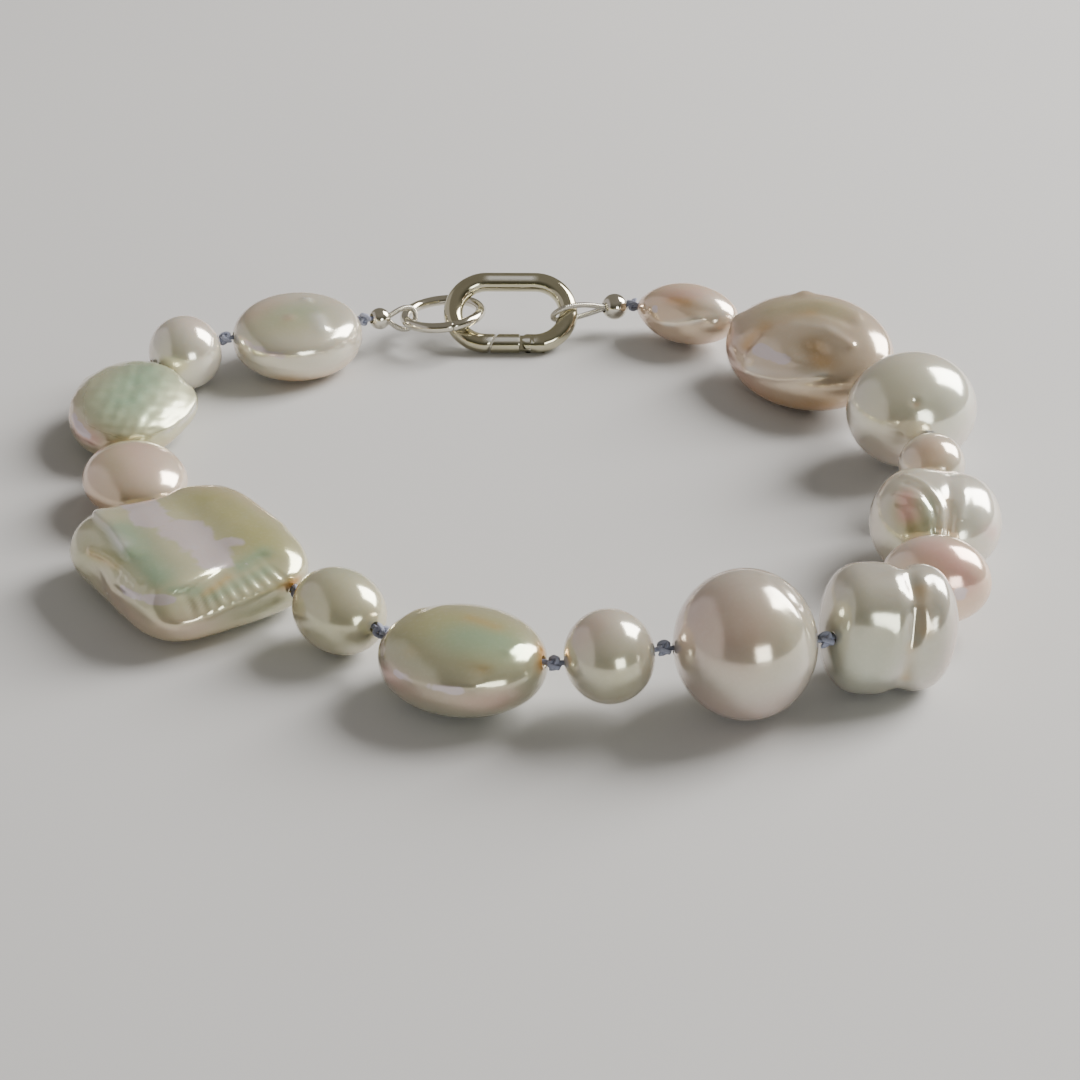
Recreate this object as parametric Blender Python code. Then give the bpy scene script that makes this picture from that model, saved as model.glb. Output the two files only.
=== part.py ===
"""Pearl bracelet: sixteen baroque freshwater pearls knotted one by one on silk, closed by a
small jump ring and an oval clasp with a sprung gate.

The bracelet lies closed on a flat surface. Sizes are in millimetres until a mesh is made;
+Z is up, the surface is z = 0 and the origin is under the middle of the loop.
"""

import math

import bmesh
import bpy
import numpy as np
from mathutils import Matrix, Vector

MM = 0.001

# Thread and knots. The knot's profile gives shares of its length and of its diameter.
THREAD_DIAMETER = 0.40
BORE_CLEARANCE = 0.30
KNOT_DIAMETER = 1.25
KNOT_LENGTH = 0.90
KNOT_CLEARANCE = 0.15
KNOT_PROFILE = [(-0.36, 0.72), (0.0, 1.0), (0.36, 0.72)]
PEARL_CLEARANCE = 0.35
THREAD_END_SHARE = 0.40

# Silver beads at the two ends of the thread, and the wire loops that leave them.
BEAD_RIGHT_DIAMETER = 2.2
BEAD_LEFT_DIAMETER = 1.8
LOOP_WIRE = 0.50
RIGHT_LOOP_STRETCH = 1.50
LEFT_LOOP_STRETCH = 1.0
LINK_CLEARANCE = 0.28

# Jump ring.
RING_OUTER_DIAMETER = 7.2
RING_WIRE = 0.85
RING_TILT = 5.0
RING_SLACK = 0.80

# Oval clasp: a frame of round wire with a gate in its near bar.
CLASP_LENGTH = 11.2
CLASP_WIDTH = 7.2
CLASP_WIRE = 1.60
CLASP_TILT = 40.0
GATE_LENGTH = 3.3
GATE_HINGE_PLACE = 1.8
GATE_SLANT = 25.0
GATE_GAP = 0.20
HINGE_PIN_DIAMETER = 0.40
HINGE_PIN_CLEARANCE = 0.12
HINGE_TONGUE = 0.50
HINGE_TONGUE_DIAMETER = 1.30
HINGE_SIDE_GAP = 0.20
HINGE_PIN_BURIED = 0.60

# Mesh fineness: sides around the thread axis, and rings from hole to hole.
ROUND_SIDES = 14
ROUND_RINGS = 9
BAROQUE_SIDES = 18
BAROQUE_RINGS = 12
BEAD_SIDES = 12
BEAD_RINGS = 7
RING_SIDES = 16
LOOP_SIDES = 12
CLASP_WIRE_SIDES = 10
CLASP_BEND_STEPS = 7
HINGE_STEPS = 10
HOLE_SIDES = 12
SHARP_ANGLE = 50.0

# Plan of the loop that the thread follows, anticlockwise from the left of the clasp.
ROUTE = [
    (-14.8, 31.7), (-25.5, 27.5), (-32.2, 24.2), (-33.5, 12.2), (-29.6, 1.3),
    (-17.4, -12.1), (-10.8, -18.6), (1.0, -24.0), (8.0, -23.6), (18.5, -23.0),
    (25.4, -20.0), (28.0, -14.2), (29.3, -3.6), (29.4, 2.8), (29.4, 12.8),
    (18.8, 29.0), (8.6, 36.2), (3.2, 34.0), (-7.4, 34.0), (-12.2, 33.3),
]
ROUTE_STEPS = 24
ROUTE_SCALES = (0.4, 2.5)
ROUTE_ROUNDS = 36
LAYING_ROUNDS = 5
SETTLE_STEPS = 240
STRING_STIFFNESS = 0.06
STRING_SAG = 0.070
SURFACE_STEPS = 28
HOLE_ROUNDS = 12
FIRST_HOLE_ANGLE = 0.15
LOBE_BLEND = 14.0

CREAM = (0.82, 0.78, 0.69)
ROSE = (0.80, 0.66, 0.58)
SAGE = (0.66, 0.67, 0.56)
PEACH = (0.81, 0.64, 0.50)
SILK_BLUE = (0.24, 0.25, 0.36)
SILVER = (0.72, 0.70, 0.66)


def lobe(at, size):
    """An egg that swells out of the pearl: its middle and half sizes, as shares of the pearl's."""
    return {"at": np.array(at), "size": np.array(size)}


def fold(start, end, width, height):
    """A ridge, or a groove where height is negative, over the line from start to end."""
    return {"start": np.array(start), "end": np.array(end), "width": width, "height": height}


def rim(at, radius, width, height):
    """A ridge or groove that runs round the direction `at`, like the rim of a dish."""
    at = np.array(at)
    return {"at": at / np.linalg.norm(at), "radius": radius, "width": width, "height": height}


# along, across and high are a pearl's full sizes before it is turned, in millimetres. plan and
# edge are the powers of its outline seen from above and from the side: 2 is an ellipse, more is
# squarer. turn, pitch and roll turn it about Z, Y and X against the thread, in degrees. bore is
# where the thread passes, as shares of the half sizes. seat is how far a flat underside lies
# below the thread, as a share of half the height.
PEARLS = [
    dict(name="pearl_01_oval_button", along=10.7, across=9.2, high=5.4, edge=2.4, roll=-8,
         bore=(0.0, -0.15, 0.15),
         colour=CREAM,
         rims=[rim((0.0, 0.1, 1.0), 0.62, 0.16, 0.05)],
         folds=[fold((0.1, -0.45, 0.8), (0.1, -0.45, 0.8), 0.22, 0.08)]),
    dict(name="pearl_02_round", along=5.9, across=6.0, high=6.1, round=True, colour=CREAM),
    dict(name="pearl_03_coin", along=12.6, across=9.4, high=4.6, edge=2.5, colour=SAGE,
         lobes=[lobe((-0.1, 0.62, 0.0), (0.5, 0.5, 0.7))]),
    dict(name="pearl_04_button", along=9.4, across=7.8, high=5.0, colour=PEACH),
    dict(name="pearl_05_square", along=15.0, across=13.8, high=6.2, plan=4.0, edge=3.0,
         turn=-10, bore=(0.04, 0.42, 0.0), seat=0.9, level=True, colour=SAGE,
         lobes=[lobe((-0.62, -0.5, -0.05), (0.5, 0.52, 0.85))],
         folds=[fold((-0.35, 0.1, 0.8), (0.35, 0.0, 0.8), 0.34, -0.22)]),
    dict(name="pearl_06_rice", along=7.4, across=6.0, high=6.1, round=True, colour=CREAM),
    dict(name="pearl_07_oval_coin", along=11.9, across=9.8, high=6.2, edge=2.3,
         bore=(0.0, 0.15, 0.2), colour=SAGE,
         folds=[fold((-0.72, -0.6, 0.4), (-0.72, 0.5, 0.4), 0.16, 0.06)]),
    dict(name="pearl_08_round", along=6.2, across=6.4, high=6.5, round=True, colour=CREAM),
    dict(name="pearl_09_large_round", along=9.7, across=10.0, high=10.4, colour=CREAM),
    dict(name="pearl_10_twin", along=9.2, across=7.0, high=8.8, turn=-33,
         bore=(0.10, 0.34, 0.06), colour=CREAM,
         lobes=[lobe((-0.36, 0.0, 0.0), (0.64, 1.06, 1.04)),
                lobe((0.45, 0.0, 0.02), (0.55, 1.0, 1.0))],
         folds=[fold((0.16, 0.0, 1.2), (0.16, -1.2, 0.0), 0.13, -0.12),
                fold((0.16, -1.2, 0.0), (0.16, 0.0, -1.2), 0.13, -0.12),
                fold((0.16, 0.0, 1.2), (0.16, 1.2, 0.0), 0.13, -0.12)]),
    dict(name="pearl_11_pink_oval", along=5.8, across=7.8, high=6.4, colour=PEACH),
    dict(name="pearl_12_swirl", along=8.6, across=9.2, high=7.2, colour=CREAM,
         lobes=[lobe((0.0, 0.34, 0.0), (1.0, 0.68, 1.02)),
                lobe((0.05, -0.42, 0.0), (0.86, 0.6, 0.92))],
         folds=[fold((-1.1, -0.16, 0.0), (0.0, -0.16, 1.1), 0.14, -0.09),
                fold((0.0, -0.16, 1.1), (1.1, -0.16, 0.0), 0.14, -0.09)]),
    dict(name="pearl_13_small_round", along=5.0, across=5.0, high=4.6, round=True, colour=CREAM),
    dict(name="pearl_14_large_drop", along=9.2, across=10.2, high=9.0,
         bore=(0.0, 0.1, 0.0), colour=CREAM,
         folds=[fold((-0.75, 0.1, 0.65), (-0.75, 0.1, 0.65), 0.2, -0.05)]),
    dict(name="pearl_15_baroque_coin", along=15.6, across=10.6, high=6.6, edge=2.2,
         turn=8, roll=-26, colour=ROSE,
         folds=[fold((-0.2, 0.0, 0.8), (0.1, 0.15, 0.8), 0.3, -0.12),
                fold((0.6, -0.72, 0.1), (0.6, -0.72, 0.1), 0.2, 0.07)]),
    dict(name="pearl_16_peach_oval", along=8.8, across=5.6, high=5.0, colour=PEACH,
         lobes=[lobe((0.45, 0.0, 0.0), (0.62, 0.6, 0.6))]),
]

UP = np.array([0.0, 0.0, 1.0])


def turn_matrix(row):
    """Rotation that carries a pearl's own axes onto its thread's."""
    turns = [(row.get("turn", 0.0), "Z"), (row.get("pitch", 0.0), "Y"), (row.get("roll", 0.0), "X")]
    matrix = Matrix.Identity(3)
    for degrees, axis in turns:
        matrix = matrix @ Matrix.Rotation(math.radians(degrees), 3, axis)
    return np.array(matrix)


def measure(unit, row):
    """Size of the pearl's form at points given as shares of its half sizes: 1 on the surface.

    A super-ellipsoid's norm, joined to the norm of each lobe by a soft minimum.
    """
    plan = row.get("plan", 2.0)
    edge = row.get("edge", 2.0)
    x, y, z = np.moveaxis(np.abs(unit), -1, 0)
    size = ((x ** plan + y ** plan) ** (edge / plan) + z ** edge) ** (1.0 / edge) + 1e-9
    for egg in row.get("lobes", []):
        other = np.linalg.norm((unit - egg["at"]) / egg["size"], axis=-1) + 1e-9
        size = (size ** -LOBE_BLEND + other ** -LOBE_BLEND) ** (-1.0 / LOBE_BLEND)
    return size


def fold_swell(points, crease):
    """How much a fold lifts each point: a bell over its distance from the fold's line."""
    span = crease["end"] - crease["start"]
    reach = max((span ** 2).sum(), 1e-9)
    share = (((points - crease["start"]) * span).sum(axis=-1) / reach).clip(0.0, 1.0)
    nearest = crease["start"] + share[..., None] * span
    gap = np.linalg.norm(points - nearest, axis=-1)
    return crease["height"] * np.exp(-((gap / crease["width"]) ** 2))


def rim_swell(points, edge):
    """How much a rim lifts each point: a bell over its distance from a ring on the near side."""
    height = (points * edge["at"]).sum(axis=-1)
    spread = np.linalg.norm(points - height[..., None] * edge["at"], axis=-1)
    bell = np.exp(-(((spread - edge["radius"]) / edge["width"]) ** 2))
    return np.where(height > 0.0, edge["height"] * bell, 0.0)


def pearl_points(row, rays):
    """Surface of a pearl along rays from the middle of its bore, given on its thread's axes.

    Each ray is halved until it meets the form; folds and rims then swell or sink the surface,
    and a seat cuts it off level below.
    """
    half = np.array([row["along"], row["across"], row["high"]]) / 2.0
    turn = turn_matrix(row)
    bore = np.array(row.get("bore", (0.0, 0.0, 0.0)))
    steps = (rays @ turn) / half
    inner = np.zeros(rays.shape[:-1])
    outer = np.full(rays.shape[:-1], 2.0 * half.max())
    for _ in range(SURFACE_STEPS):
        middle = 0.5 * (inner + outer)
        beyond = measure(bore + steps * middle[..., None], row) > 1.0
        inner = np.where(beyond, inner, middle)
        outer = np.where(beyond, middle, outer)
    points = bore + steps * inner[..., None]
    swell = np.ones(rays.shape[:-1])
    for crease in row.get("folds", []):
        swell = swell + fold_swell(points, crease)
    for edge_ring in row.get("rims", []):
        swell = swell + rim_swell(points, edge_ring)
    placed = rays * (inner * swell)[..., None]
    if "seat" in row:
        floor = -row["seat"] * half[2]
        cut = np.where(placed[..., 2] < floor, floor / np.minimum(placed[..., 2], floor), 1.0)
        placed = placed * cut[..., None]
    return placed


def bead_grid(row, bore_radius, sides, rings):
    """Points from the rim of one hole to the rim of the other, a ring at a time along the thread."""
    sizes = np.array([row["along"], row["across"], row["high"]])
    stretch = np.sqrt(turn_matrix(row) ** 2 @ sizes ** 2)
    around = np.linspace(0.0, 2.0 * math.pi, sides, endpoint=False)

    def surface(polar):
        rays = np.stack([-np.cos(polar), np.sin(polar) * np.cos(around),
                         np.sin(polar) * np.sin(around)], axis=-1) * stretch
        return pearl_points(row, rays / np.linalg.norm(rays, axis=-1, keepdims=True))

    first = np.full(sides, FIRST_HOLE_ANGLE)
    last = np.full(sides, FIRST_HOLE_ANGLE)
    for _ in range(HOLE_ROUNDS):
        first = first * bore_radius / np.linalg.norm(surface(first)[:, 1:], axis=-1)
        last = last * bore_radius / np.linalg.norm(surface(math.pi - last)[:, 1:], axis=-1)
    shares = np.linspace(0.0, 1.0, rings + 1)
    return np.array([surface(first * (1.0 - share) + (math.pi - last) * share) for share in shares])


def bead_mesh(name, grid):
    """A drilled bead: the grid's skin, closed by the wall of its bore."""
    rings, sides = grid.shape[:2]
    shell = bmesh.new()
    verts = [[shell.verts.new(Vector(point) * MM) for point in ring] for ring in grid]
    for low in range(rings - 1):
        for side in range(sides):
            after = (side + 1) % sides
            shell.faces.new([verts[low][side], verts[low + 1][side],
                             verts[low + 1][after], verts[low][after]])
    for side in range(sides):
        after = (side + 1) % sides
        shell.faces.new([verts[-1][side], verts[0][side], verts[0][after], verts[-1][after]])
    bmesh.ops.recalc_face_normals(shell, faces=shell.faces)
    mesh = bpy.data.meshes.new(name)
    shell.to_mesh(mesh)
    shell.free()
    mesh.shade_smooth()
    mesh.set_sharp_from_angle(angle=math.radians(SHARP_ANGLE))
    return mesh


def closed_route(scale):
    """The loop's plan as a dense polygon: a Catmull-Rom curve through the scaled route points."""
    knots = np.array(ROUTE) * scale
    share = np.linspace(0.0, 1.0, ROUTE_STEPS, endpoint=False)[:, None]
    pieces = []
    for index in range(len(knots)):
        p0, p1, p2, p3 = (knots[(index + shift) % len(knots)] for shift in (-1, 0, 1, 2))
        pieces.append(0.5 * (2.0 * p1 + (p2 - p0) * share
                             + (2.0 * p0 - 5.0 * p1 + 4.0 * p2 - p3) * share ** 2
                             + (3.0 * p1 - p0 - 3.0 * p2 + p3) * share ** 3))
    return np.concatenate(pieces)


def march(route, chords):
    """Joints a chord apart along the route, and how far round the last one comes, in turns."""
    count = len(route)
    places = [0.0]
    joints = [route[0]]
    for chord in chords:
        first = int(math.floor(places[-1])) + 1
        ahead = np.arange(first, first + count)
        gaps = np.linalg.norm(route[ahead % count] - joints[-1], axis=1)
        beyond = int(np.argmax(gaps >= chord))
        before = gaps[beyond - 1] if beyond else 0.0
        start = ahead[beyond] - 1 if beyond else places[-1]
        share = (chord - before) / max(gaps[beyond] - before, 1e-9)
        places.append(start + share * (ahead[beyond] - start))
        low = route[int(math.floor(places[-1])) % count]
        high = route[(int(math.floor(places[-1])) + 1) % count]
        joints.append(low + (high - low) * (places[-1] % 1.0))
    return np.array(joints[:-1]), places[-1] / count


def lay_on_route(lengths, heights):
    """Scale the route until the links close on it, and return the joints between them."""
    rises = np.roll(heights, -1) - heights
    chords = np.sqrt(np.maximum(lengths ** 2 - rises ** 2, (0.5 * lengths) ** 2))
    small, large = ROUTE_SCALES
    for _ in range(ROUTE_ROUNDS):
        scale = 0.5 * (small + large)
        turns = march(closed_route(scale), chords)[1]
        if turns > 1.0:
            small = scale
        else:
            large = scale
    plan = march(closed_route(scale), chords)[0]
    return np.column_stack([plan, heights])


def link_axes(start, end):
    """Axes of a link as rows: along it, to the left of it, and up."""
    along = (end - start) / np.linalg.norm(end - start)
    left = np.cross(UP, along)
    left = left / np.linalg.norm(left)
    return np.array([along, left, np.cross(along, left)])


def axes_of(joints):
    """Axes of every link of the closed chain."""
    return np.array([link_axes(start, end) for start, end in zip(joints, np.roll(joints, -1, axis=0))])


def settle(links, joints, axes):
    """Joint heights at which the string sags until a bead of it meets the surface."""
    count = len(links)
    depth = np.array([-(link["points"] @ frame)[:, 2].min() for link, frame in zip(links, axes)])
    shares = np.array([link["before"] / link["length"] for link in links])
    heights = joints[:, 2].copy()
    pinned = np.zeros(count, dtype=bool)
    for index, link in enumerate(links):
        if link.get("level"):
            pinned[[index, (index + 1) % count]] = True
            heights[[index, (index + 1) % count]] = depth[index]
    for _ in range(SETTLE_STEPS):
        pull = np.roll(heights, 1) + np.roll(heights, -1) - 2.0 * heights
        heights = np.where(pinned, heights, heights + STRING_STIFFNESS * pull - STRING_SAG)
        for index in range(count):
            after = (index + 1) % count
            weights = np.array([1.0 - shares[index], shares[index]])
            free = np.where(pinned[[index, after]], 0.0, weights)
            lack = depth[index] - weights @ heights[[index, after]]
            if lack > 0.0 and free.sum() > 0.0:
                heights[[index, after]] += lack * free / (free @ weights)
    return heights


def end_allowance(link, axes, toward, other):
    """How far the middle of a bead stays from a joint.

    The bead stops short of the knot, and of the plane that halves the bend at the joint.
    """
    half_plane = axes[0] * toward + other * toward
    normal = half_plane / np.linalg.norm(half_plane)
    reach = (link["points"] @ axes) @ normal + 0.5 * PEARL_CLEARANCE
    beside = reach.max() / (axes[0] * toward @ normal)
    knot = link["holes"][0 if toward < 0.0 else 1] + 0.5 * KNOT_LENGTH + KNOT_CLEARANCE
    return max(knot, beside)


def hole_reach(row, toward):
    """How far a bead reaches along the thread within a knot's width of it."""
    around = np.linspace(0.0, 2.0 * math.pi, HOLE_SIDES, endpoint=False)
    radius = 0.5 * KNOT_DIAMETER
    polar = np.full(HOLE_SIDES, FIRST_HOLE_ANGLE)
    for _ in range(HOLE_ROUNDS):
        rays = np.stack([toward * np.cos(polar), np.sin(polar) * np.cos(around),
                         np.sin(polar) * np.sin(around)], axis=-1)
        points = pearl_points(row, rays)
        polar = polar * radius / np.linalg.norm(points[:, 1:], axis=-1)
    middle = pearl_points(row, np.array([[toward, 0.0, 0.0]]))
    return max((toward * points[:, 0]).max(), abs(middle[0, 0]))


def bead_link(row, sides, rings):
    """A bead on the thread, with its middle at the origin of its own points."""
    bore = 0.5 * THREAD_DIAMETER + BORE_CLEARANCE
    grid = bead_grid(row, bore, sides, rings)
    holes = (hole_reach(row, -1.0), hole_reach(row, 1.0))
    return dict(row, grid=grid, points=grid.reshape(-1, 3), holes=holes, before=holes[0],
                length=sum(holes) + KNOT_LENGTH + 2.0 * KNOT_CLEARANCE, moves=True)


def oval_points(half_length, half_height, sides):
    """An oval in the XZ plane."""
    angles = np.linspace(0.0, 2.0 * math.pi, sides, endpoint=False)
    return np.column_stack([half_length * np.cos(angles), np.zeros(sides),
                            half_height * np.sin(angles)])


def clasp_half_sizes():
    """Half length and half width of the middle line of the clasp's wire."""
    return 0.5 * (CLASP_LENGTH - CLASP_WIRE), 0.5 * (CLASP_WIDTH - CLASP_WIRE)


def roll_matrix(degrees):
    """Rotation about the thread's direction."""
    return np.array(Matrix.Rotation(math.radians(degrees), 3, "X"))


def loop_half_height(held_wire):
    """Half height of a wire loop's middle line where it holds a wire with clearance."""
    return 0.5 * held_wire + LINK_CLEARANCE + 0.5 * LOOP_WIRE


def end_bead_link(name, loop_name, diameter, held_wire, loop_stretch, forward):
    """A silver bead with the wire loop that leaves it, from its knot to the wire it holds."""
    row = dict(name=name, along=diameter, across=diameter, high=diameter, colour=SILVER)
    link = bead_link(row, BEAD_SIDES, BEAD_RINGS)
    knot = link["holes"][0] + 0.5 * KNOT_LENGTH + KNOT_CLEARANCE
    half_height = loop_half_height(held_wire)
    half_length = half_height * loop_stretch
    loop_middle = 0.5 * diameter + LINK_CLEARANCE + 0.5 * LOOP_WIRE + half_length
    held = loop_middle + half_length - 0.5 * (LOOP_WIRE + held_wire) - LINK_CLEARANCE
    link.update(length=knot + held, before=knot if forward else held, moves=False,
                loop=dict(name=loop_name, middle=loop_middle if forward else -loop_middle,
                          half_length=half_length, half_height=half_height))
    return link


def ring_link():
    """The jump ring, from the clasp's end, where it lies slack, to the left loop's wire."""
    radius = 0.5 * (RING_OUTER_DIAMETER - RING_WIRE)
    clasp_side = 0.5 * (RING_WIRE + CLASP_WIRE) + LINK_CLEARANCE + RING_SLACK
    length = 2.0 * radius - clasp_side
    angles = np.linspace(0.0, 2.0 * math.pi, RING_SIDES, endpoint=False)
    flat = np.column_stack([radius * np.cos(angles), radius * np.sin(angles), np.zeros(RING_SIDES)])
    outline = flat @ roll_matrix(RING_TILT).T
    return dict(name="jump_ring", outline=outline, points=outline - UP * 0.5 * RING_WIRE,
                before=radius - clasp_side, length=length, moves=False)


def clasp_link():
    """The clasp, from the middle of its wire at one end to the other."""
    half_length = clasp_half_sizes()[0]
    tilt = roll_matrix(-CLASP_TILT)
    line = clasp_line() @ tilt.T
    return dict(name="clasp", points=line - UP * 0.5 * CLASP_WIRE, before=half_length,
                length=2.0 * half_length, moves=False, tilt=tilt)


def gate_tip():
    """How far the gate's slanted tip is from its hinge, kept within the bar's straight part."""
    half_length, half_width = clasp_half_sizes()
    slant = 0.5 * CLASP_WIRE * math.tan(math.radians(GATE_SLANT))
    return min(GATE_LENGTH, GATE_HINGE_PLACE + half_length - half_width - slant - GATE_GAP)


def clasp_line():
    """Middle line of the clasp's wire, from the hinge round both ends to the gate's tip.

    The wire lies in the XY plane. The gate is in the bar at +Y; +X is the way the thread runs.
    """
    half_length, half_width = clasp_half_sizes()
    straight = half_length - half_width
    bend = np.linspace(0.0, math.pi, CLASP_BEND_STEPS + 1)
    right = [(-straight - half_width * math.sin(a), half_width * math.cos(a)) for a in bend]
    left = [(straight + half_width * math.sin(a), -half_width * math.cos(a)) for a in bend]
    hinge_end = [(-GATE_HINGE_PLACE + 0.5 * CLASP_WIRE, half_width)]
    tip_end = [(gate_tip() - GATE_HINGE_PLACE + 0.5 * GATE_GAP, half_width)]
    line = np.array(hinge_end + right + left + tip_end)
    return np.column_stack([line, np.zeros(len(line))])


def make_material(name, colour, roughness, metallic):
    """A plain Principled finish."""
    material = bpy.data.materials.new(name)
    material.use_nodes = True
    shader = material.node_tree.nodes["Principled BSDF"]
    shader.inputs["Base Color"].default_value = (*colour, 1.0)
    shader.inputs["Roughness"].default_value = roughness
    shader.inputs["Metallic"].default_value = metallic
    return material


def add_object(name, data, material, parent, middle, axes):
    """Put a mesh or curve in the scene, placed by its middle and axes."""
    data.materials.append(material)
    item = bpy.data.objects.new(name, data)
    bpy.context.collection.objects.link(item)
    item.parent = parent
    frame = Matrix(axes.T.tolist()).to_4x4()
    item.matrix_local = Matrix.Translation(Vector(middle) * MM) @ frame
    return item


def add_wire(name, points, diameter, resolution, cyclic, radii=None):
    """Curve data for a round wire or thread through the points."""
    curve = bpy.data.curves.new(name, "CURVE")
    curve.dimensions = "3D"
    curve.bevel_depth = 0.5 * diameter * MM
    curve.bevel_resolution = resolution
    curve.use_fill_caps = True
    spline = curve.splines.new("POLY")
    spline.points.add(len(points) - 1)
    for index, point in enumerate(points):
        spline.points[index].co = (*(Vector(point) * MM), 1.0)
        spline.points[index].radius = 1.0 if radii is None else radii[index]
    spline.use_cyclic_u = cyclic
    spline.use_smooth = True
    return curve


def make_chain():
    """All links in order: pearls, right bead and loop, clasp, jump ring, left loop and bead."""
    links = []
    for row in PEARLS:
        sides, rings = (ROUND_SIDES, ROUND_RINGS) if row.get("round") else (BAROQUE_SIDES, BAROQUE_RINGS)
        links.append(bead_link(row, sides, rings))
    links.append(end_bead_link("bead_right", "wire_loop_right", BEAD_RIGHT_DIAMETER, CLASP_WIRE,
                               RIGHT_LOOP_STRETCH, True))
    links.append(clasp_link())
    links.append(ring_link())
    links.append(end_bead_link("bead_left", "wire_loop_left", BEAD_LEFT_DIAMETER, RING_WIRE,
                               LEFT_LOOP_STRETCH, False))
    return links


def lay_chain(links):
    """Lay the links on the route and the surface, and return the joints and each link's axes."""
    joints = None
    heights = np.array([0.5 * link.get("high", CLASP_WIRE) for link in links])
    for _ in range(LAYING_ROUNDS):
        lengths = np.array([link["length"] for link in links])
        joints = lay_on_route(lengths, heights)
        axes = axes_of(joints)
        for index, link in enumerate(links):
            if link["moves"]:
                before = end_allowance(link, axes[index], -1.0, axes[index - 1][0])
                after = end_allowance(link, axes[index], 1.0, axes[(index + 1) % len(links)][0])
                link.update(before=before, length=before + after)
        heights = settle(links, joints, axes)
    lengths = np.array([link["length"] for link in links])
    joints = lay_on_route(lengths, heights)
    return joints, axes_of(joints)


def thread_path(links, joints, axes):
    """Points and radii of the silk from the left bead round to the right one, knots included."""
    knot = KNOT_DIAMETER / THREAD_DIAMETER
    profile = [(-0.5, 1.0)] + [(share, size * knot) for share, size in KNOT_PROFILE] + [(0.5, 1.0)]
    points = []
    radii = []
    left_bead = links[-1]
    middle = joints[-1] + axes[-1][0] * left_bead["before"]
    points.append(middle - axes[-1][0] * THREAD_END_SHARE * BEAD_LEFT_DIAMETER)
    radii.append(1.0)
    for index in range(len(PEARLS) + 1):
        for share, radius in profile:
            way = axes[index - 1][0] if share < 0.0 else axes[index][0]
            points.append(joints[index] + way * share * KNOT_LENGTH)
            radii.append(radius)
    right_bead = len(PEARLS)
    middle = joints[right_bead] + axes[right_bead][0] * links[right_bead]["before"]
    points.append(middle + axes[right_bead][0] * THREAD_END_SHARE * BEAD_RIGHT_DIAMETER)
    radii.append(1.0)
    return points, radii


def wire_ring(shell, centre, across, along, radius, sides, shear):
    """One ring of vertices round a wire, pushed along it by `shear` times its offset across."""
    ring = []
    for side in range(sides):
        angle = 2.0 * math.pi * (side + 0.5) / sides
        offset = across * math.cos(angle) * radius
        point = centre + offset + UP * math.sin(angle) * radius
        point = point + along * shear * math.cos(angle) * radius
        ring.append(shell.verts.new(Vector(point) * MM))
    return ring


def swept_wire(name, line, radius, sides, first_shear, last_shear):
    """A round wire along a line in the XY plane, with ends cut square or on the slant."""
    shell = bmesh.new()
    steps = np.diff(line, axis=0)
    steps = steps / np.linalg.norm(steps, axis=1, keepdims=True)
    along = np.vstack([steps[:1], steps[:-1] + steps[1:], steps[-1:]])
    along = along / np.linalg.norm(along, axis=1, keepdims=True)
    shears = [first_shear] + [0.0] * (len(line) - 2) + [last_shear]
    rings = [wire_ring(shell, point, np.cross(UP, way), way, radius, sides, shear)
             for point, way, shear in zip(line, along, shears)]
    for low, high in zip(rings, rings[1:]):
        for side in range(sides):
            after = (side + 1) % sides
            shell.faces.new([low[side], high[side], high[after], low[after]])
    shell.faces.new(rings[0])
    shell.faces.new(rings[-1])
    bmesh.ops.recalc_face_normals(shell, faces=shell.faces)
    mesh = bpy.data.meshes.new(name)
    shell.to_mesh(mesh)
    shell.free()
    mesh.shade_smooth()
    mesh.set_sharp_from_angle(angle=math.radians(SHARP_ANGLE))
    return mesh


def prism(name, outline, low, high):
    """An outline in the XY plane extruded from z = low to z = high."""
    shell = bmesh.new()
    base = shell.faces.new([shell.verts.new((x * MM, y * MM, low * MM)) for x, y in outline])
    lifted = bmesh.ops.extrude_face_region(shell, geom=[base])
    moved = [item for item in lifted["geom"] if isinstance(item, bmesh.types.BMVert)]
    bmesh.ops.translate(shell, verts=moved, vec=(0.0, 0.0, (high - low) * MM))
    bmesh.ops.recalc_face_normals(shell, faces=shell.faces)
    mesh = bpy.data.meshes.new(name)
    shell.to_mesh(mesh)
    shell.free()
    return mesh


def arc(radius, start, end, steps):
    """Points of a circle about the origin, in degrees."""
    angles = np.radians(np.linspace(start, end, steps + 1))
    return [(radius * math.cos(angle), radius * math.sin(angle)) for angle in angles]


def circle(radius, sides):
    """Points of a whole circle about the origin."""
    return arc(radius, 0.0, 360.0, sides)[:-1]


def add_boolean(target, tool_mesh, operation, location):
    """Cut or join a tool mesh with a target, at a place given on the target's own axes."""
    tool = bpy.data.objects.new(tool_mesh.name, tool_mesh)
    bpy.context.collection.objects.link(tool)
    tool.parent = target
    tool.location = Vector(location) * MM
    tool.hide_render = True
    tool.display_type = "WIRE"
    modifier = target.modifiers.new(tool_mesh.name, "BOOLEAN")
    modifier.operation = operation
    modifier.object = tool
    modifier.solver = "EXACT"


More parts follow.
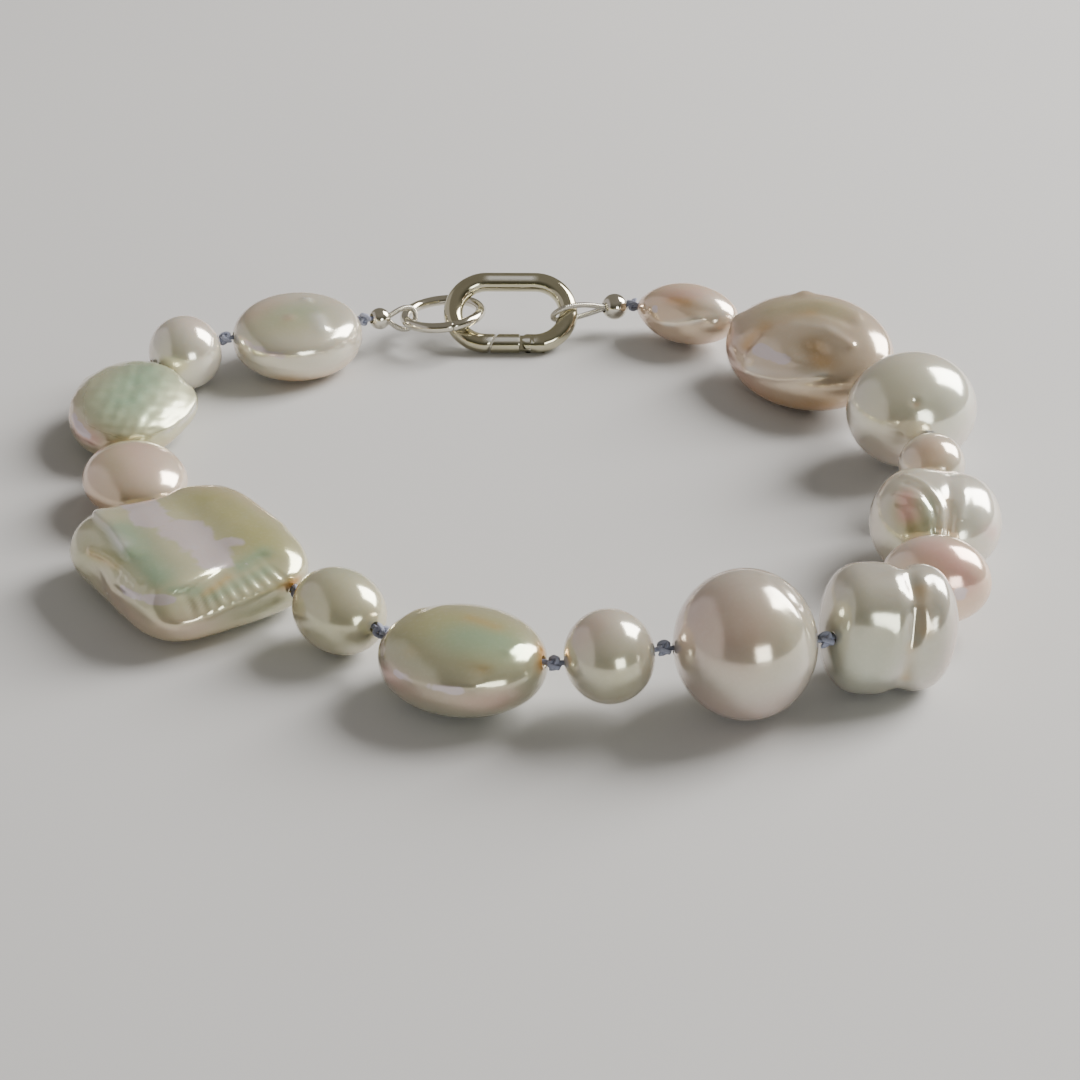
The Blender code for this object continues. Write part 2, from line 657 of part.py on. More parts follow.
def add_clasp_frame(parent, middle, axes, silver):
    """The clasp's wire, forked at the hinge with its pin, and cut on the slant at the gate's tip."""
    half_width = clasp_half_sizes()[1]
    radius = 0.5 * CLASP_WIRE
    slant = math.tan(math.radians(GATE_SLANT))
    mesh = swept_wire("clasp_frame", clasp_line(), radius, CLASP_WIRE_SIDES, 0.0, -slant)
    frame = add_object("clasp_frame", mesh, silver, parent, middle, axes)
    hinge = (-GATE_HINGE_PLACE, half_width, 0.0)
    reach = 2.0 * radius
    round_end = arc(radius, -90.0, 90.0, HINGE_STEPS)
    nose = [(0.0, -reach)] + round_end + [(0.0, reach), (reach, reach), (reach, -reach)]
    add_boolean(frame, prism("fork_nose", nose, -reach, reach), "DIFFERENCE", hinge)
    slot_half = 0.5 * HINGE_TONGUE + HINGE_SIDE_GAP
    root = 0.5 * HINGE_TONGUE_DIAMETER + HINGE_SIDE_GAP
    slot = [(-root, -reach), (reach, -reach), (reach, reach), (-root, reach)]
    add_boolean(frame, prism("fork_slot", slot, -slot_half, slot_half), "DIFFERENCE", hinge)
    pin = circle(0.5 * HINGE_PIN_DIAMETER, HINGE_STEPS)
    pin_half = slot_half + HINGE_PIN_BURIED * (radius - slot_half)
    add_boolean(frame, prism("hinge_pin", pin, -pin_half, pin_half), "UNION", hinge)
    return frame


def add_clasp_gate(parent, middle, axes, silver):
    """The gate: a bar whose flat tongue turns on the hinge pin, with its origin on the pin."""
    half_width = clasp_half_sizes()[1]
    radius = 0.5 * CLASP_WIRE
    shoulder = radius + HINGE_SIDE_GAP
    tip = gate_tip() - 0.5 * GATE_GAP
    slant = math.tan(math.radians(GATE_SLANT))
    line = np.array([(shoulder, 0.0, 0.0), (0.5 * (shoulder + tip), 0.0, 0.0), (tip, 0.0, 0.0)])
    mesh = swept_wire("clasp_gate", line, radius, CLASP_WIRE_SIDES, 0.0, -slant)
    hinge = middle + np.array([-GATE_HINGE_PLACE, half_width, 0.0]) @ axes
    gate = add_object("clasp_gate", mesh, silver, parent, hinge, axes)
    nose = 0.5 * HINGE_TONGUE_DIAMETER
    buried = shoulder + 0.5 * radius
    tongue = [(buried, -nose), (buried, nose)] + arc(nose, 90.0, 270.0, HINGE_STEPS)
    half = 0.5 * HINGE_TONGUE
    add_boolean(gate, prism("tongue", tongue, -half, half), "UNION", (0.0, 0.0, 0.0))
    eye = circle(0.5 * HINGE_PIN_DIAMETER + HINGE_PIN_CLEARANCE, HINGE_STEPS)
    add_boolean(gate, prism("tongue_eye", eye, -2.0 * half, 2.0 * half), "DIFFERENCE", (0.0, 0.0, 0.0))
    return gate


def add_findings(parent, links, joints, axes, silver):
    """Wire loops, jump ring and clasp."""
    clasp_index = len(PEARLS) + 1
    for index in (len(PEARLS), len(links) - 1):
        link = links[index]
        loop = link["loop"]
        middle = joints[index] + axes[index][0] * (link["before"] + loop["middle"])
        roll = roll_matrix(-CLASP_TILT if index < clasp_index else RING_TILT)
        points = oval_points(loop["half_length"], loop["half_height"], LOOP_SIDES) @ roll.T
        curve = add_wire(loop["name"], points, LOOP_WIRE, 1, True)
        add_object(loop["name"], curve, silver, parent, middle, axes[index])
    clasp = links[clasp_index]
    middle = joints[clasp_index] + axes[clasp_index][0] * clasp["before"]
    frame_axes = (axes[clasp_index].T @ clasp["tilt"]).T
    add_clasp_frame(parent, middle, frame_axes, silver)
    add_clasp_gate(parent, middle, frame_axes, silver)
    ring = links[clasp_index + 1]
    middle = joints[clasp_index + 1] + axes[clasp_index + 1][0] * ring["before"]
    curve = add_wire("jump_ring", ring["outline"], RING_WIRE, 1, True)
    add_object("jump_ring", curve, silver, parent, middle, axes[clasp_index + 1])


def add_beads(parent, links, joints, axes, silver):
    """Pearls and silver beads, each on its own stretch of the thread."""
    for index, link in enumerate(links):
        if "grid" not in link:
            continue
        finish = silver
        if index < len(PEARLS):
            finish = make_material(link["name"], link["colour"], 0.18, 0.0)
        middle = joints[index] + axes[index][0] * link["before"]
        add_object(link["name"], bead_mesh(link["name"], link["grid"]), finish, parent, middle,
                   axes[index])


def centre_on_origin(parent):
    """Move the whole bracelet so that the middle of its bounding box is over the origin."""
    bpy.context.view_layer.update()
    depsgraph = bpy.context.evaluated_depsgraph_get()
    corners = []
    for item in parent.children:
        shape = item.evaluated_get(depsgraph)
        mesh = shape.to_mesh()
        corners.extend(item.matrix_world @ vertex.co for vertex in mesh.vertices)
        shape.to_mesh_clear()
    spread = np.array(corners)
    middle = 0.5 * (spread.min(axis=0) + spread.max(axis=0))
    parent.location = (-middle[0], -middle[1], 0.0)


def main():
    for item in list(bpy.data.objects):
        bpy.data.objects.remove(item, do_unlink=True)
    links = make_chain()
    joints, axes = lay_chain(links)
    bracelet = bpy.data.objects.new("bracelet", None)
    bpy.context.collection.objects.link(bracelet)
    silver = make_material("silver", SILVER, 0.2, 1.0)
    silk = make_material("silk", SILK_BLUE, 0.7, 0.0)
    add_beads(bracelet, links, joints, axes, silver)
    points, radii = thread_path(links, joints, axes)
    thread = add_wire("silk_thread", points, THREAD_DIAMETER, 1, False, radii)
    add_object("silk_thread", thread, silk, bracelet, np.zeros(3), np.identity(3))
    add_findings(bracelet, links, joints, axes, silver)
    centre_on_origin(bracelet)


main()
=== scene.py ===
import math

import bpy
import numpy as np
from mathutils import Matrix


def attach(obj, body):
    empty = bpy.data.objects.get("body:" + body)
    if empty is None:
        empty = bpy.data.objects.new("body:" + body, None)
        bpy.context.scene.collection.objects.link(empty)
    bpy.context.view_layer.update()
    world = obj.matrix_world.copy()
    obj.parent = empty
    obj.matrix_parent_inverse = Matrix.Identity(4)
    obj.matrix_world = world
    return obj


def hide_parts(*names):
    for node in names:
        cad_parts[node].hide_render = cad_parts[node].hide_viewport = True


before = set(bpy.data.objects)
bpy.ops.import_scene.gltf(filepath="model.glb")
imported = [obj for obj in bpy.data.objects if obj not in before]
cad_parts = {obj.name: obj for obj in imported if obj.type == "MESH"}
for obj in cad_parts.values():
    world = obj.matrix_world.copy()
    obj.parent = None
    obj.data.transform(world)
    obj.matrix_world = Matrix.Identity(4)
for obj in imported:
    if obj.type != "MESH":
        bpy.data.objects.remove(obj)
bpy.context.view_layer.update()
mm = 0.001
up = np.array([0.0, 0.0, 1.0])
print("frame loaded:", len(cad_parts), "solids")

camera = dict(place=(1.6395, -197.696, 111.5), lookDown=30.0, lens=100.0)
cameraData = bpy.data.cameras.new("camera")
cameraData.lens = camera["lens"]
cameraData.sensor_width = 36.0
cameraData.clip_start = 0.005
cameraData.clip_end = 10.0
cameraItem = bpy.data.objects.new("camera", cameraData)
bpy.context.collection.objects.link(cameraItem)
cameraItem.location = [mm * value for value in camera["place"]]
cameraItem.rotation_euler = (math.radians(90.0 - camera["lookDown"]), 0.0, 0.0)
bpy.context.scene.camera = cameraItem
print("camera placed")


def unitVectors(rows):
    return rows / np.linalg.norm(rows, axis=-1, keepdims=True)


# distance from every point to the line from start to end, and how far along it the nearest lies
def lineGap(points, start, end):
    start, end = np.array(start), np.array(end)
    span = end - start
    reach = max((span ** 2).sum(), 1e-9)
    share = (((points - start) * span).sum(axis=-1) / reach).clip(0.0, 1.0)
    return np.linalg.norm(points - start - share[..., None] * span, axis=-1), share


# distance from every point to the nearest line of a path, or to its only point
def pathGap(points, path):
    return np.minimum.reduce([lineGap(points, a, b)[0] for a, b in zip(path, path[1:] or path)])


# a smooth bump: 1 where the distance is nothing, fading to nothing a few widths away
def bell(distance, width):
    return np.exp(-((distance / width) ** 2))


# soft random relief about zero: the sum of sine waves in random directions
def waves(points, finest, seed, count=14):
    random = np.random.default_rng(seed)
    heading = unitVectors(random.normal(size=(count, 3))) * finest
    heading = heading * random.uniform(0.45, 1.0, size=(count, 1))
    phase = random.uniform(0.0, 2.0 * math.pi, size=count)
    return np.sin(points @ heading.T + phase).sum(axis=-1) / math.sqrt(count)


# quads of a grid of rings; rings close round, and rows close end to end or are capped
def surfacePart(grid, closedRows=False, lengths=None):
    rows, sides = grid.shape[:2]
    index = np.arange(rows * sides).reshape(rows, sides)
    low = index if closedRows else index[:-1]
    high = np.roll(index, -1, axis=0) if closedRows else index[1:]
    quads = np.stack([low, high, np.roll(high, -1, axis=1), np.roll(low, -1, axis=1)], axis=-1)
    quads = quads.reshape(-1, 4)
    points = grid.reshape(-1, 3)
    first, second, third, fourth = np.moveaxis(points[quads] - points.mean(axis=0), 1, 0)
    volume = (np.cross(first, second) * third).sum() + (np.cross(first, third) * fourth).sum()
    caps = [] if closedRows else [index[0][::-1], index[-1]]
    if volume < 0.0:
        quads = quads[:, ::-1]
        caps = [cap[::-1] for cap in caps]
    along = np.arange(rows, dtype=float) if lengths is None else lengths
    turn = np.arange(sides) / sides
    flat = np.stack(np.meshgrid(along, turn, indexing="ij"), axis=-1).reshape(-1, 2)
    return dict(points=points, quads=quads, caps=caps, flat=flat)


# one object from several surfaces, in metres at the origin, with a UV map along and around them
def makePiece(name, parts, finish, nodes, body="root", sharp=40.0, masks=None):
    points, faces, flat, start = [], [], [], 0
    for part in parts:
        points.append(part["points"])
        faces.extend((part["quads"] + start).tolist())
        faces.extend((cap + start).tolist() for cap in part["caps"])
        flat.append(part["flat"])
        start += len(part["points"])
    mesh = bpy.data.meshes.new(name)
    mesh.from_pydata((np.concatenate(points) * mm).tolist(), [], faces)
    corners = np.empty(len(mesh.loops), dtype=np.int32)
    mesh.loops.foreach_get("vertex_index", corners)
    layer = mesh.uv_layers.new(name="alongAround")
    layer.data.foreach_set("uv", np.concatenate(flat)[corners].astype(np.float32).ravel())
    for mask, values in (masks or {}).items():
        mesh.attributes.new(mask, "FLOAT", "POINT").data.foreach_set(
            "value", values.astype(np.float32).ravel())
    mesh.shade_smooth()
    mesh.set_sharp_from_angle(angle=math.radians(sharp))
    mesh.materials.append(finish)
    piece = bpy.data.objects.new(name, mesh)
    bpy.context.collection.objects.link(piece)
    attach(piece, body)
    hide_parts(*nodes)


# a profile carried along a path: each ring stands across the path, its first axis across the
# reference, which is one vector or one for each row
def sweep(path, reference, profile, closed=False):
    if closed:
        heading = np.roll(path, -1, axis=0) - np.roll(path, 1, axis=0)
    else:
        heading = np.gradient(path, axis=0)
    heading = unitVectors(heading)
    side = unitVectors(np.cross(reference, heading))
    top = np.cross(heading, side)
    return path[:, None] + profile[..., :1] * side[:, None] + profile[..., 1:2] * top[:, None]


# round profile, one ring a row: radius has a value for each row, or for each row and side
def roundProfile(radius, sides):
    angle = np.arange(sides) * 2.0 * math.pi / sides
    reach = radius.reshape(len(radius), -1)
    return np.stack([reach * np.cos(angle), reach * np.sin(angle)], axis=-1)


# axes of a stretch of the string as rows: along it, to its left, and up
def linkAxes(start, end):
    along = (end - start) / np.linalg.norm(end - start)
    left = np.cross(up, along)
    left = left / np.linalg.norm(left)
    return np.array([along, left, np.cross(along, left)])


def rollMatrix(degrees):
    return np.array(Matrix.Rotation(math.radians(degrees), 3, "X"))


class Wire:
    # wraps a socket so that shader maths is written as ordinary maths
    def __init__(self, nodes, socket):
        self.nodes = nodes
        self.socket = socket

    def maths(self, operation, first, second=0.0):
        return self.nodes.node("ShaderNodeMath", {"operation": operation}, {0: first, 1: second})

    def __add__(self, other):
        return self.maths("ADD", self, other)

    def __radd__(self, other):
        return self.maths("ADD", other, self)

    def __sub__(self, other):
        return self.maths("SUBTRACT", self, other)

    def __rsub__(self, other):
        return self.maths("SUBTRACT", other, self)

    def __mul__(self, other):
        return self.maths("MULTIPLY", self, other)

    def __rmul__(self, other):
        return self.maths("MULTIPLY", other, self)

    def sine(self):
        return self.maths("SINE", self)

    def size(self):
        return self.maths("ABSOLUTE", self)

    def clamp(self):
        return self.nodes.node("ShaderNodeClamp", {}, {"Value": self})

    def part(self, axis):
        return self.nodes.node("ShaderNodeSeparateXYZ", {}, {0: self}, axis)


class Nodes:
    # a node tree with short calls for its nodes
    def __init__(self, tree):
        self.tree = tree

    def node(self, kind, settings, inputs, out=0):
        made = self.tree.nodes.new(kind)
        for key, value in settings.items():
            setattr(made, key, value)
        for key, value in inputs.items():
            self.feed(made.inputs[key], value)
        return Wire(self, made.outputs[out])

    def feed(self, socket, value):
        if isinstance(value, Wire):
            self.tree.links.new(value.socket, socket)
        else:
            socket.default_value = value

    def blend(self, factor, first, second):
        return self.node("ShaderNodeMix", {"data_type": "RGBA"},
                         {0: factor, 6: self.colour(first), 7: self.colour(second)}, 2)

    def colour(self, value):
        return value if isinstance(value, Wire) else (*value, 1.0)


class Finish(Nodes):
    # a material; the scales of its noises are waves in a metre
    def __init__(self, name, constants):
        self.material = bpy.data.materials.new(name)
        self.material.use_nodes = True
        super().__init__(self.material.node_tree)
        self.shader = self.tree.nodes["Principled BSDF"]
        for socket, value in constants.items():
            self.shader.inputs[socket].default_value = value
        self.place = self.node("ShaderNodeTexCoord", {}, {}, "Object")

    def noise(self, scale, detail=2.0, warp=0.0):
        return self.node("ShaderNodeTexNoise", {}, {"Vector": self.place, "Scale": scale,
                                                    "Detail": detail, "Distortion": warp})

    def mask(self, name):
        return self.node("ShaderNodeAttribute", {"attribute_name": name}, {}, "Fac")

    def alongAround(self):
        return self.node("ShaderNodeUVMap", {"uv_map": "alongAround"}, {})

    def bump(self, height, strength, distance):
        return self.node("ShaderNodeBump", {}, {"Height": height, "Strength": strength,
                                                "Distance": distance * mm})

    def surface(self, base, rough, normal):
        for socket, value in (("Base Color", base), ("Roughness", rough), ("Normal", normal)):
            self.feed(self.shader.inputs[socket], value)


# tint colours for the masks. Some paint light rather than colour: the grey tint is painted shade, the
# pale tint is partly painted highlight, the lavender tint is partly painted reflection of the pale wall,
# the amber tint is partly painted shade, and the olive tint is partly painted shade and painted
# reflection of the dark room
nacreShade = dict(
    green=(0.36, 0.52, 0.35), olive_tone_shade_and_reflection=(0.54, 0.52, 0.23), rose=(0.82, 0.48, 0.42),
    lavender_tint_and_reflection=(0.76, 0.66, 0.70), amber_stain_and_shade=(0.70, 0.37, 0.07), pale_tone_and_highlight=(0.96, 0.94, 0.88),
    grey_painted_shade=(0.36, 0.35, 0.32))
nacreLooks = {
    "nacre_cream": dict(body=(0.84, 0.78, 0.66), deep=(0.74, 0.68, 0.52), drift=0.40),
    "nacre_sage": dict(body=(0.68, 0.65, 0.44), deep=(0.57, 0.57, 0.36), drift=0.45),
    "nacre_peach": dict(body=(0.88, 0.69, 0.52), deep=(0.81, 0.58, 0.40), drift=0.40),
    "nacre_rose": dict(body=(0.78, 0.64, 0.51), deep=(0.66, 0.51, 0.36), drift=0.45),
}
nacreConstants = {
    "IOR": 1.55, "Metallic": 0.55, "Subsurface Weight": 0.25, "Subsurface Scale": 0.0011,
    "Subsurface Radius": (1.0, 0.72, 0.50), "Coat Weight": 0.8, "Coat Roughness": 0.09,
    "Coat IOR": 1.45, "Thin Film Thickness": 410.0, "Thin Film IOR": 1.36,
}


def nacreFinish(name, look):
    finish = Finish(name, nacreConstants)
    broad = finish.noise(150.0, 1.5)
    cloud = finish.noise(620.0, 2.5, 0.4)
    grain = finish.noise(3600.0, 3.0)
    base = finish.blend((broad * 1.8 - 0.4).clamp() * look["drift"], look["body"], look["deep"])
    ragged = 1.0 + (cloud - 0.5) * 0.5
    # each tint mixes its colour into the base; the grey tint is painted shade, and the pale, amber and
    # olive tints are partly painted highlight, shade and reflection
    for tint in ("grey_painted_shade", "olive_tone_shade_and_reflection", "green", "rose", "amber_stain_and_shade", "pale_tone_and_highlight"):
        base = finish.blend((finish.mask(tint) * ragged).clamp(), base, nacreShade[tint])
    # crisp-edged lavender patches: a tint that also paints the reflection of the pale wall
    patch = ((finish.mask("lavender_tint_and_reflection") + (cloud - 0.5) * 0.80 - 0.42) * 7.0).clamp()
    base = finish.blend(patch * 0.85, base, nacreShade["lavender_tint_and_reflection"])
    base = finish.blend((grain - 0.5).clamp() * 0.30, base, (0.93, 0.90, 0.86))
    rough = 0.13 + cloud * 0.07 + finish.mask("chalk") * 0.34
    finish.surface(base, rough, finish.bump(grain * 0.35 + cloud * 0.65, 0.12, 0.07))
    return finish.material


nacre = {slot: nacreFinish(slot, look) for slot, look in nacreLooks.items()}
print("nacre mixed")


# joint: where the pearl's stretch of string starts; before: from there to the pearl's middle.
# along, across, high, plan, edge, turn, roll, bore, seat and lobes are the solid's own.
# folds, rims, ribs and skins are relief, tints are colour masks and wander makes both uneven, all
# in shares of the half sizes, measured from the pearl's middle on its own axes. Some tints paint
# shade, highlights and reflections into the colour. fine multiplies the number of rings and sides.
def lobe(at, size, edge=2.0):
    return dict(at=np.array(at), size=np.array(size), edge=edge)


# a line raised or, where the height is below zero, sunk; one place makes a bump or a dimple
def ridge(width, height, *path):
    return dict(width=width, height=height, path=path)


def rim(at, radius, width, height):
    return dict(at=np.array(at) / np.linalg.norm(at), radius=radius, width=width, height=height)


def ribs(start, end, width, height, count):
    return dict(start=start, end=end, width=width, height=height, count=count)


# without a place the ripples and the tint lie all over the pearl
def ripple(finest, height, at=(0.0, 0.0, 0.0), reach=2.0):
    return dict(finest=finest, height=height, at=np.array(at), reach=reach)


def tint(mask, width, strength, *path, ragged=0.3):
    return dict(mask=mask, width=width, strength=strength, path=path or ((0.0, 0.0, 0.0),),
                ragged=ragged)


pearls = [
    dict(node="pearl_01_oval_button", slot="nacre_cream", joint=(-12.956, 26.69, 3.128), before=5.946,
         along=10.7, across=9.2, high=5.4, edge=2.4, roll=-8, bore=(0, -0.15, 0.15),
         rims=[rim((0, 0.1, 1), 0.8, 0.17, 0.045), rim((0, 0.1, 1), 0, 0.5, -0.035)],
         folds=[
             ridge(0.085, 0.11, (-0.2, -0.3, 0.96)), ridge(0.09, 0.045, (0.21, 0.18, 0.98)),
             ridge(0.13, 0.05, (-0.24, 0.27, 0.96), (-0.23, 0.58, 0.88))],
         skins=[ripple(7, 0.004)],
         tints=[
             # grey tint: painted shade over the top
             tint("grey_painted_shade", 0.65, 0.35, (0.1, 0.1, 0.95), (0.5, 0, 0.8), ragged=0),
             tint("olive_tone_shade_and_reflection", 0.5, 0.55, (0.1, 0.2, 0.95), (0.4, 0.1, 0.9)),
             tint("green", 0.36, 0.4, (0.2, 0, 0.95), (-0.1, 0.1, 0.95)),
             # pale tint: painted highlights along the ridge and on the bump
             tint("pale_tone_and_highlight", 0.13, 0.65, (-0.24, 0.28, 0.95), (-0.23, 0.55, 0.88)),
             tint("pale_tone_and_highlight", 0.07, 0.7, (-0.2, -0.3, 0.98)), tint("rose", 0.12, 0.35, (0.21, 0.18, 0.98)),
             tint("rose", 0.25, 0.3, (0.3, -0.4, 0.85), (0.6, -0.2, 0.8)),
             # amber tint: painted shade on the underside
             tint("amber_stain_and_shade", 0.4, 0.55, (0.3, 0.7, -0.6), (-0.5, 0.6, -0.6)),
             # lavender tint: painted reflection of the pale wall along the edge
             tint("lavender_tint_and_reflection", 0.15, 0.7, (0.86, 0.3, 0.45), (0.5, 0.8, 0.4))]),
    dict(node="pearl_02_round", slot="nacre_cream", joint=(-24.022, 22.344, 3.423), before=3.55,
         along=5.9, across=6, high=6.1,
         skins=[ripple(5, 0.004)],
         tints=[
             tint("pale_tone_and_highlight", 2, 0.35, ragged=0), tint("rose", 0.5, 0.35, (-0.3, 0.3, 0.9), (-0.6, 0, 0.8)),
             tint("olive_tone_shade_and_reflection", 0.5, 0.3, (0.3, 0.4, 0.4))]),
    dict(node="pearl_03_coin", slot="nacre_sage", joint=(-30.263, 18.99, 2.515), before=7.016,
         along=12.6, across=9.4, high=4.6, edge=2.5, fine=1.3,
         lobes=[lobe((-0.1, 0.62, 0), (0.5, 0.5, 0.7))],
         skins=[ripple(14, 0.012, (0.1, 0.1, 0.9), 1), ripple(34, 0.014, (0.1, 0.1, 0.9), 1)],
         folds=[
             ridge(0.11, 0.045, (-0.1, 1.04, 0.34), (0.31, 0.96, 0.24), (0.62, 0.76, 0.3)),
             ridge(0.12, 0.035, (0.7, -0.42, 0.42), (-0.4, -0.75, 0.42)),
             ridge(0.14, -0.02, (0.6, -0.2, 0.7), (-0.2, -0.45, 0.8))],
         tints=[
             tint("green", 0.6, 0.9, (0.3, 0.1, 0.9), (-0.3, 0.2, 0.9)),
             tint("rose", 0.34, 0.85, (0.85, -0.45, 0.2), (-0.3, -0.9, 0.2)),
             # lavender tint: painted reflection of the pale wall on the side
             tint("lavender_tint_and_reflection", 0.2, 0.8, (0.8, -0.55, 0.3), (0.5, -0.72, 0.4), ragged=1),
             # pale tint: painted highlight streaks along the edge
             tint("pale_tone_and_highlight", 0.12, 0.75, (0.02, 1.08, 0.18), (0.31, 0.98, 0.12)),
             tint("pale_tone_and_highlight", 0.1, 0.5, (0.6, 0.8, 0.17)),
             tint("olive_tone_shade_and_reflection", 0.2, 0.6, (0.99, 0.05, 0.21), (0.9, 0.35, 0.2)),
             # amber tint: painted shade on the lower side
             tint("amber_stain_and_shade", 0.25, 0.35, (0.9, 0.1, 0), (0.6, 0.6, -0.4)),
             tint("chalk", 0.8, 1, (0.3, 0.1, 1), (-0.1, 0.6, 0.7))]),
    dict(node="pearl_04_button", slot="nacre_peach", joint=(-31.055, 5.102, 2.129), before=5.3,
         along=9.4, across=7.8, high=5,
         skins=[ripple(4.5, 0.008)],
         tints=[
             tint("pale_tone_and_highlight", 0.8, 0.35, (0.5, 0.4, 0.3), (0, 0.8, 0.2), ragged=0),
             tint("rose", 0.45, 0.4, (0.5, 0.1, 0.75), (0, 0.2, 0.9)),
             tint("olive_tone_shade_and_reflection", 0.22, 0.3, (0.3, -0.4, 0.75), (-0.3, -0.3, 0.9)),
             # amber tint: painted shade on the lower side
             tint("amber_stain_and_shade", 0.4, 0.3, (0.8, 0, -0.4), (0.3, -0.9, -0.3))]),
    dict(node="pearl_05_square", slot="nacre_sage", joint=(-26.667, -4.525, 2.79), before=8.99, along=15,
         across=13.8, high=6.2, plan=4, edge=3, turn=-10, bore=(0.04, 0.42, 0), seat=0.9, fine=1.7,
         wander=0.035,
         lobes=[lobe((-0.62, -0.5, -0.05), (0.5, 0.52, 0.85))],
         folds=[
             ridge(0.36, -0.22, (-0.35, 0.1, 0.8), (0.4, 0, 0.8)),
             ridge(0.1, 0.055, (-0.8, -0.6, 0.76), (-0.4, -0.67, 0.87), (0.06, -0.74, 0.83)),
             ridge(0.11, -0.03, (-0.7, -0.4, 0.8), (-0.1, -0.5, 0.86), (0.5, -0.52, 0.84)),
             ridge(0.24, -0.075, (0.94, -0.6, 0.44), (0.93, -0.35, 0.6), (0.89, -0.12, 0.66),
                   (0.85, 0.14, 0.7), (0.84, 0.42, 0.72)),
             ridge(0.08, -0.035, (0.88, -0.62, 0.56), (0.86, -0.35, 0.68), (0.82, -0.12, 0.74),
                   (0.79, 0.14, 0.76), (0.78, 0.42, 0.78)),
             ridge(0.24, 0.035, (0.95, -0.64, 0), (1, -0.25, 0.06), (1, 0, 0.14), (0.98, 0.24, 0.24),
                   (0.93, 0.56, 0.34)),
             ridge(0.07, 0.03, (-0.36, -0.97, 0.46), (0, -0.91, 0.62), (0.44, -0.88, 0.62)),
             ridge(0.06, -0.022, (0.2, -0.99, 0.25), (0.6, -0.9, 0.4)),
             ridge(0.14, 0.03, (-0.8, 0.4, 0.72), (0.2, 0.9, 0.66)),
             ridge(0.1, -0.018, (-0.3, 0.5, 0.9), (0.3, 0.62, 0.88))],
         ribs=[
             ribs((0.96, -0.62, 0.27), (0.92, 0.52, 0.55), 0.19, 0.0145, 9),
             ribs((0.1, -0.92, 0.5), (0.7, -0.82, 0.5), 0.14, 0.008, 5)],
         skins=[
             ripple(8, 0.01, (0, 0, 0.9), 0.8), ripple(15, 0.01, (-0.3, -0.9, 0.2), 0.7),
             ripple(18, 0.004, (0.9, 0, 0.4), 0.8), ripple(30, 0.0022, reach=3)],
         tints=[
             tint("olive_tone_shade_and_reflection", 0.4, 0.9, (-0.48, 0.43, 0.88), (0.5, 0.5, 0.85)),
             tint("olive_tone_shade_and_reflection", 0.17, 0.7, (-0.36, -0.97, 0.46), (0, -0.91, 0.62)),
             tint("amber_stain_and_shade", 0.09, 0.35, (-0.36, -0.97, 0.46), (0.1, -0.88, 0.62), ragged=1),
             tint("green", 0.16, 0.9, (-0.3, -0.6, 0.87), (0.6, -0.7, 0.78)),
             tint("green", 0.1, 0.7, (0.78, -0.66, 0.66), (0.9, -0.5, 0.55)),
             tint("green", 0.11, 0.7, (0.82, 0.1, 0.72), (0.74, 0.42, 0.8)),
             tint("rose", 0.2, 0.35, (-0.75, 0.55, 0.7), (0, 0.85, 0.6)),
             # lavender tint: painted reflection of the pale wall in the dish
             tint("lavender_tint_and_reflection", 0.18, 1, (-0.82, -0.2, 0.74), (-0.34, -0.34, 0.92), ragged=1.2),
             tint("lavender_tint_and_reflection", 0.29, 1, (0.02, -0.14, 0.88), (0.62, -0.12, 0.83), ragged=1.2),
             tint("lavender_tint_and_reflection", 0.12, 1, (0.4, 0.12, 0.9), (0.5, 0.27, 0.87), ragged=1.2),
             tint("green", 0.1, 0.6, (0.94, -0.36, 0.42), (0.9, 0.34, 0.58)),
             # lavender tint: tint and painted reflection of the pale wall
             tint("lavender_tint_and_reflection", 0.13, 0.95, (0.36, -0.95, 0.34), (0.8, -0.78, 0.5), ragged=1.2),
             tint("lavender_tint_and_reflection", 0.06, 0.95, (0.81, 0.18, 0.73), ragged=1.2),
             tint("amber_stain_and_shade", 0.13, 1, (0.97, 0.57, 0.19)),
             # amber tint: painted shade along the crease
             tint("amber_stain_and_shade", 0.07, 0.4, (0.94, -0.4, 0.5), (0.89, -0.12, 0.64)),
             tint("rose", 0.36, 0.4, (0.2, -1, -0.1), (1, -0.6, -0.2)),
             # amber tint: painted shade on the underside
             tint("amber_stain_and_shade", 0.34, 0.35, (0.2, -1, -0.8), (1, -0.2, -0.8)),
             # pale tint: painted highlight along the ridge
             tint("pale_tone_and_highlight", 0.08, 0.8, (-0.77, -0.62, 0.78), (-0.06, -0.72, 0.85))]),
    dict(node="pearl_06_rice", slot="nacre_cream", joint=(-15.319, -16.721, 2.79), before=4.3, along=7.4,
         across=6, high=6.1,
         skins=[ripple(4.5, 0.006)],
         tints=[
             tint("olive_tone_shade_and_reflection", 1.6, 0.62, ragged=0.1), tint("green", 0.5, 0.35, (-0.1, 0.3, 0.9)),
             tint("amber_stain_and_shade", 0.24, 0.6, (-0.97, 0, 0)), tint("rose", 0.3, 0.35, (-0.6, -0.6, 0.3))]),
    dict(node="pearl_07_oval_coin", slot="nacre_sage", joint=(-9.232, -22.77, 3.356), before=6.533,
         along=11.9, across=9.8, high=6.2, edge=2.3, bore=(0, 0.15, 0.2), fine=1.3,
         folds=[
             ridge(0.12, 0.04, (-0.62, 0.3, 0.72), (-0.72, -0.2, 0.64), (-0.66, -0.62, 0.42),
                   (-0.2, -0.86, 0.28), (0.45, -0.84, 0.24)),
             ridge(0.09, -0.022, (-0.5, -0.5, 0.66), (-0.1, -0.7, 0.6), (0.5, -0.7, 0.5)),
             ridge(0.1, 0.03, (-0.46, 0.1, 0.88), (-0.34, 0.36, 0.86)),
             ridge(0.07, 0.022, (0.66, -0.26, 0.72), (0.72, 0, 0.72)),
             ridge(0.34, -0.026, (0.1, -0.25, 0.93), (0.35, 0.1, 0.93))],
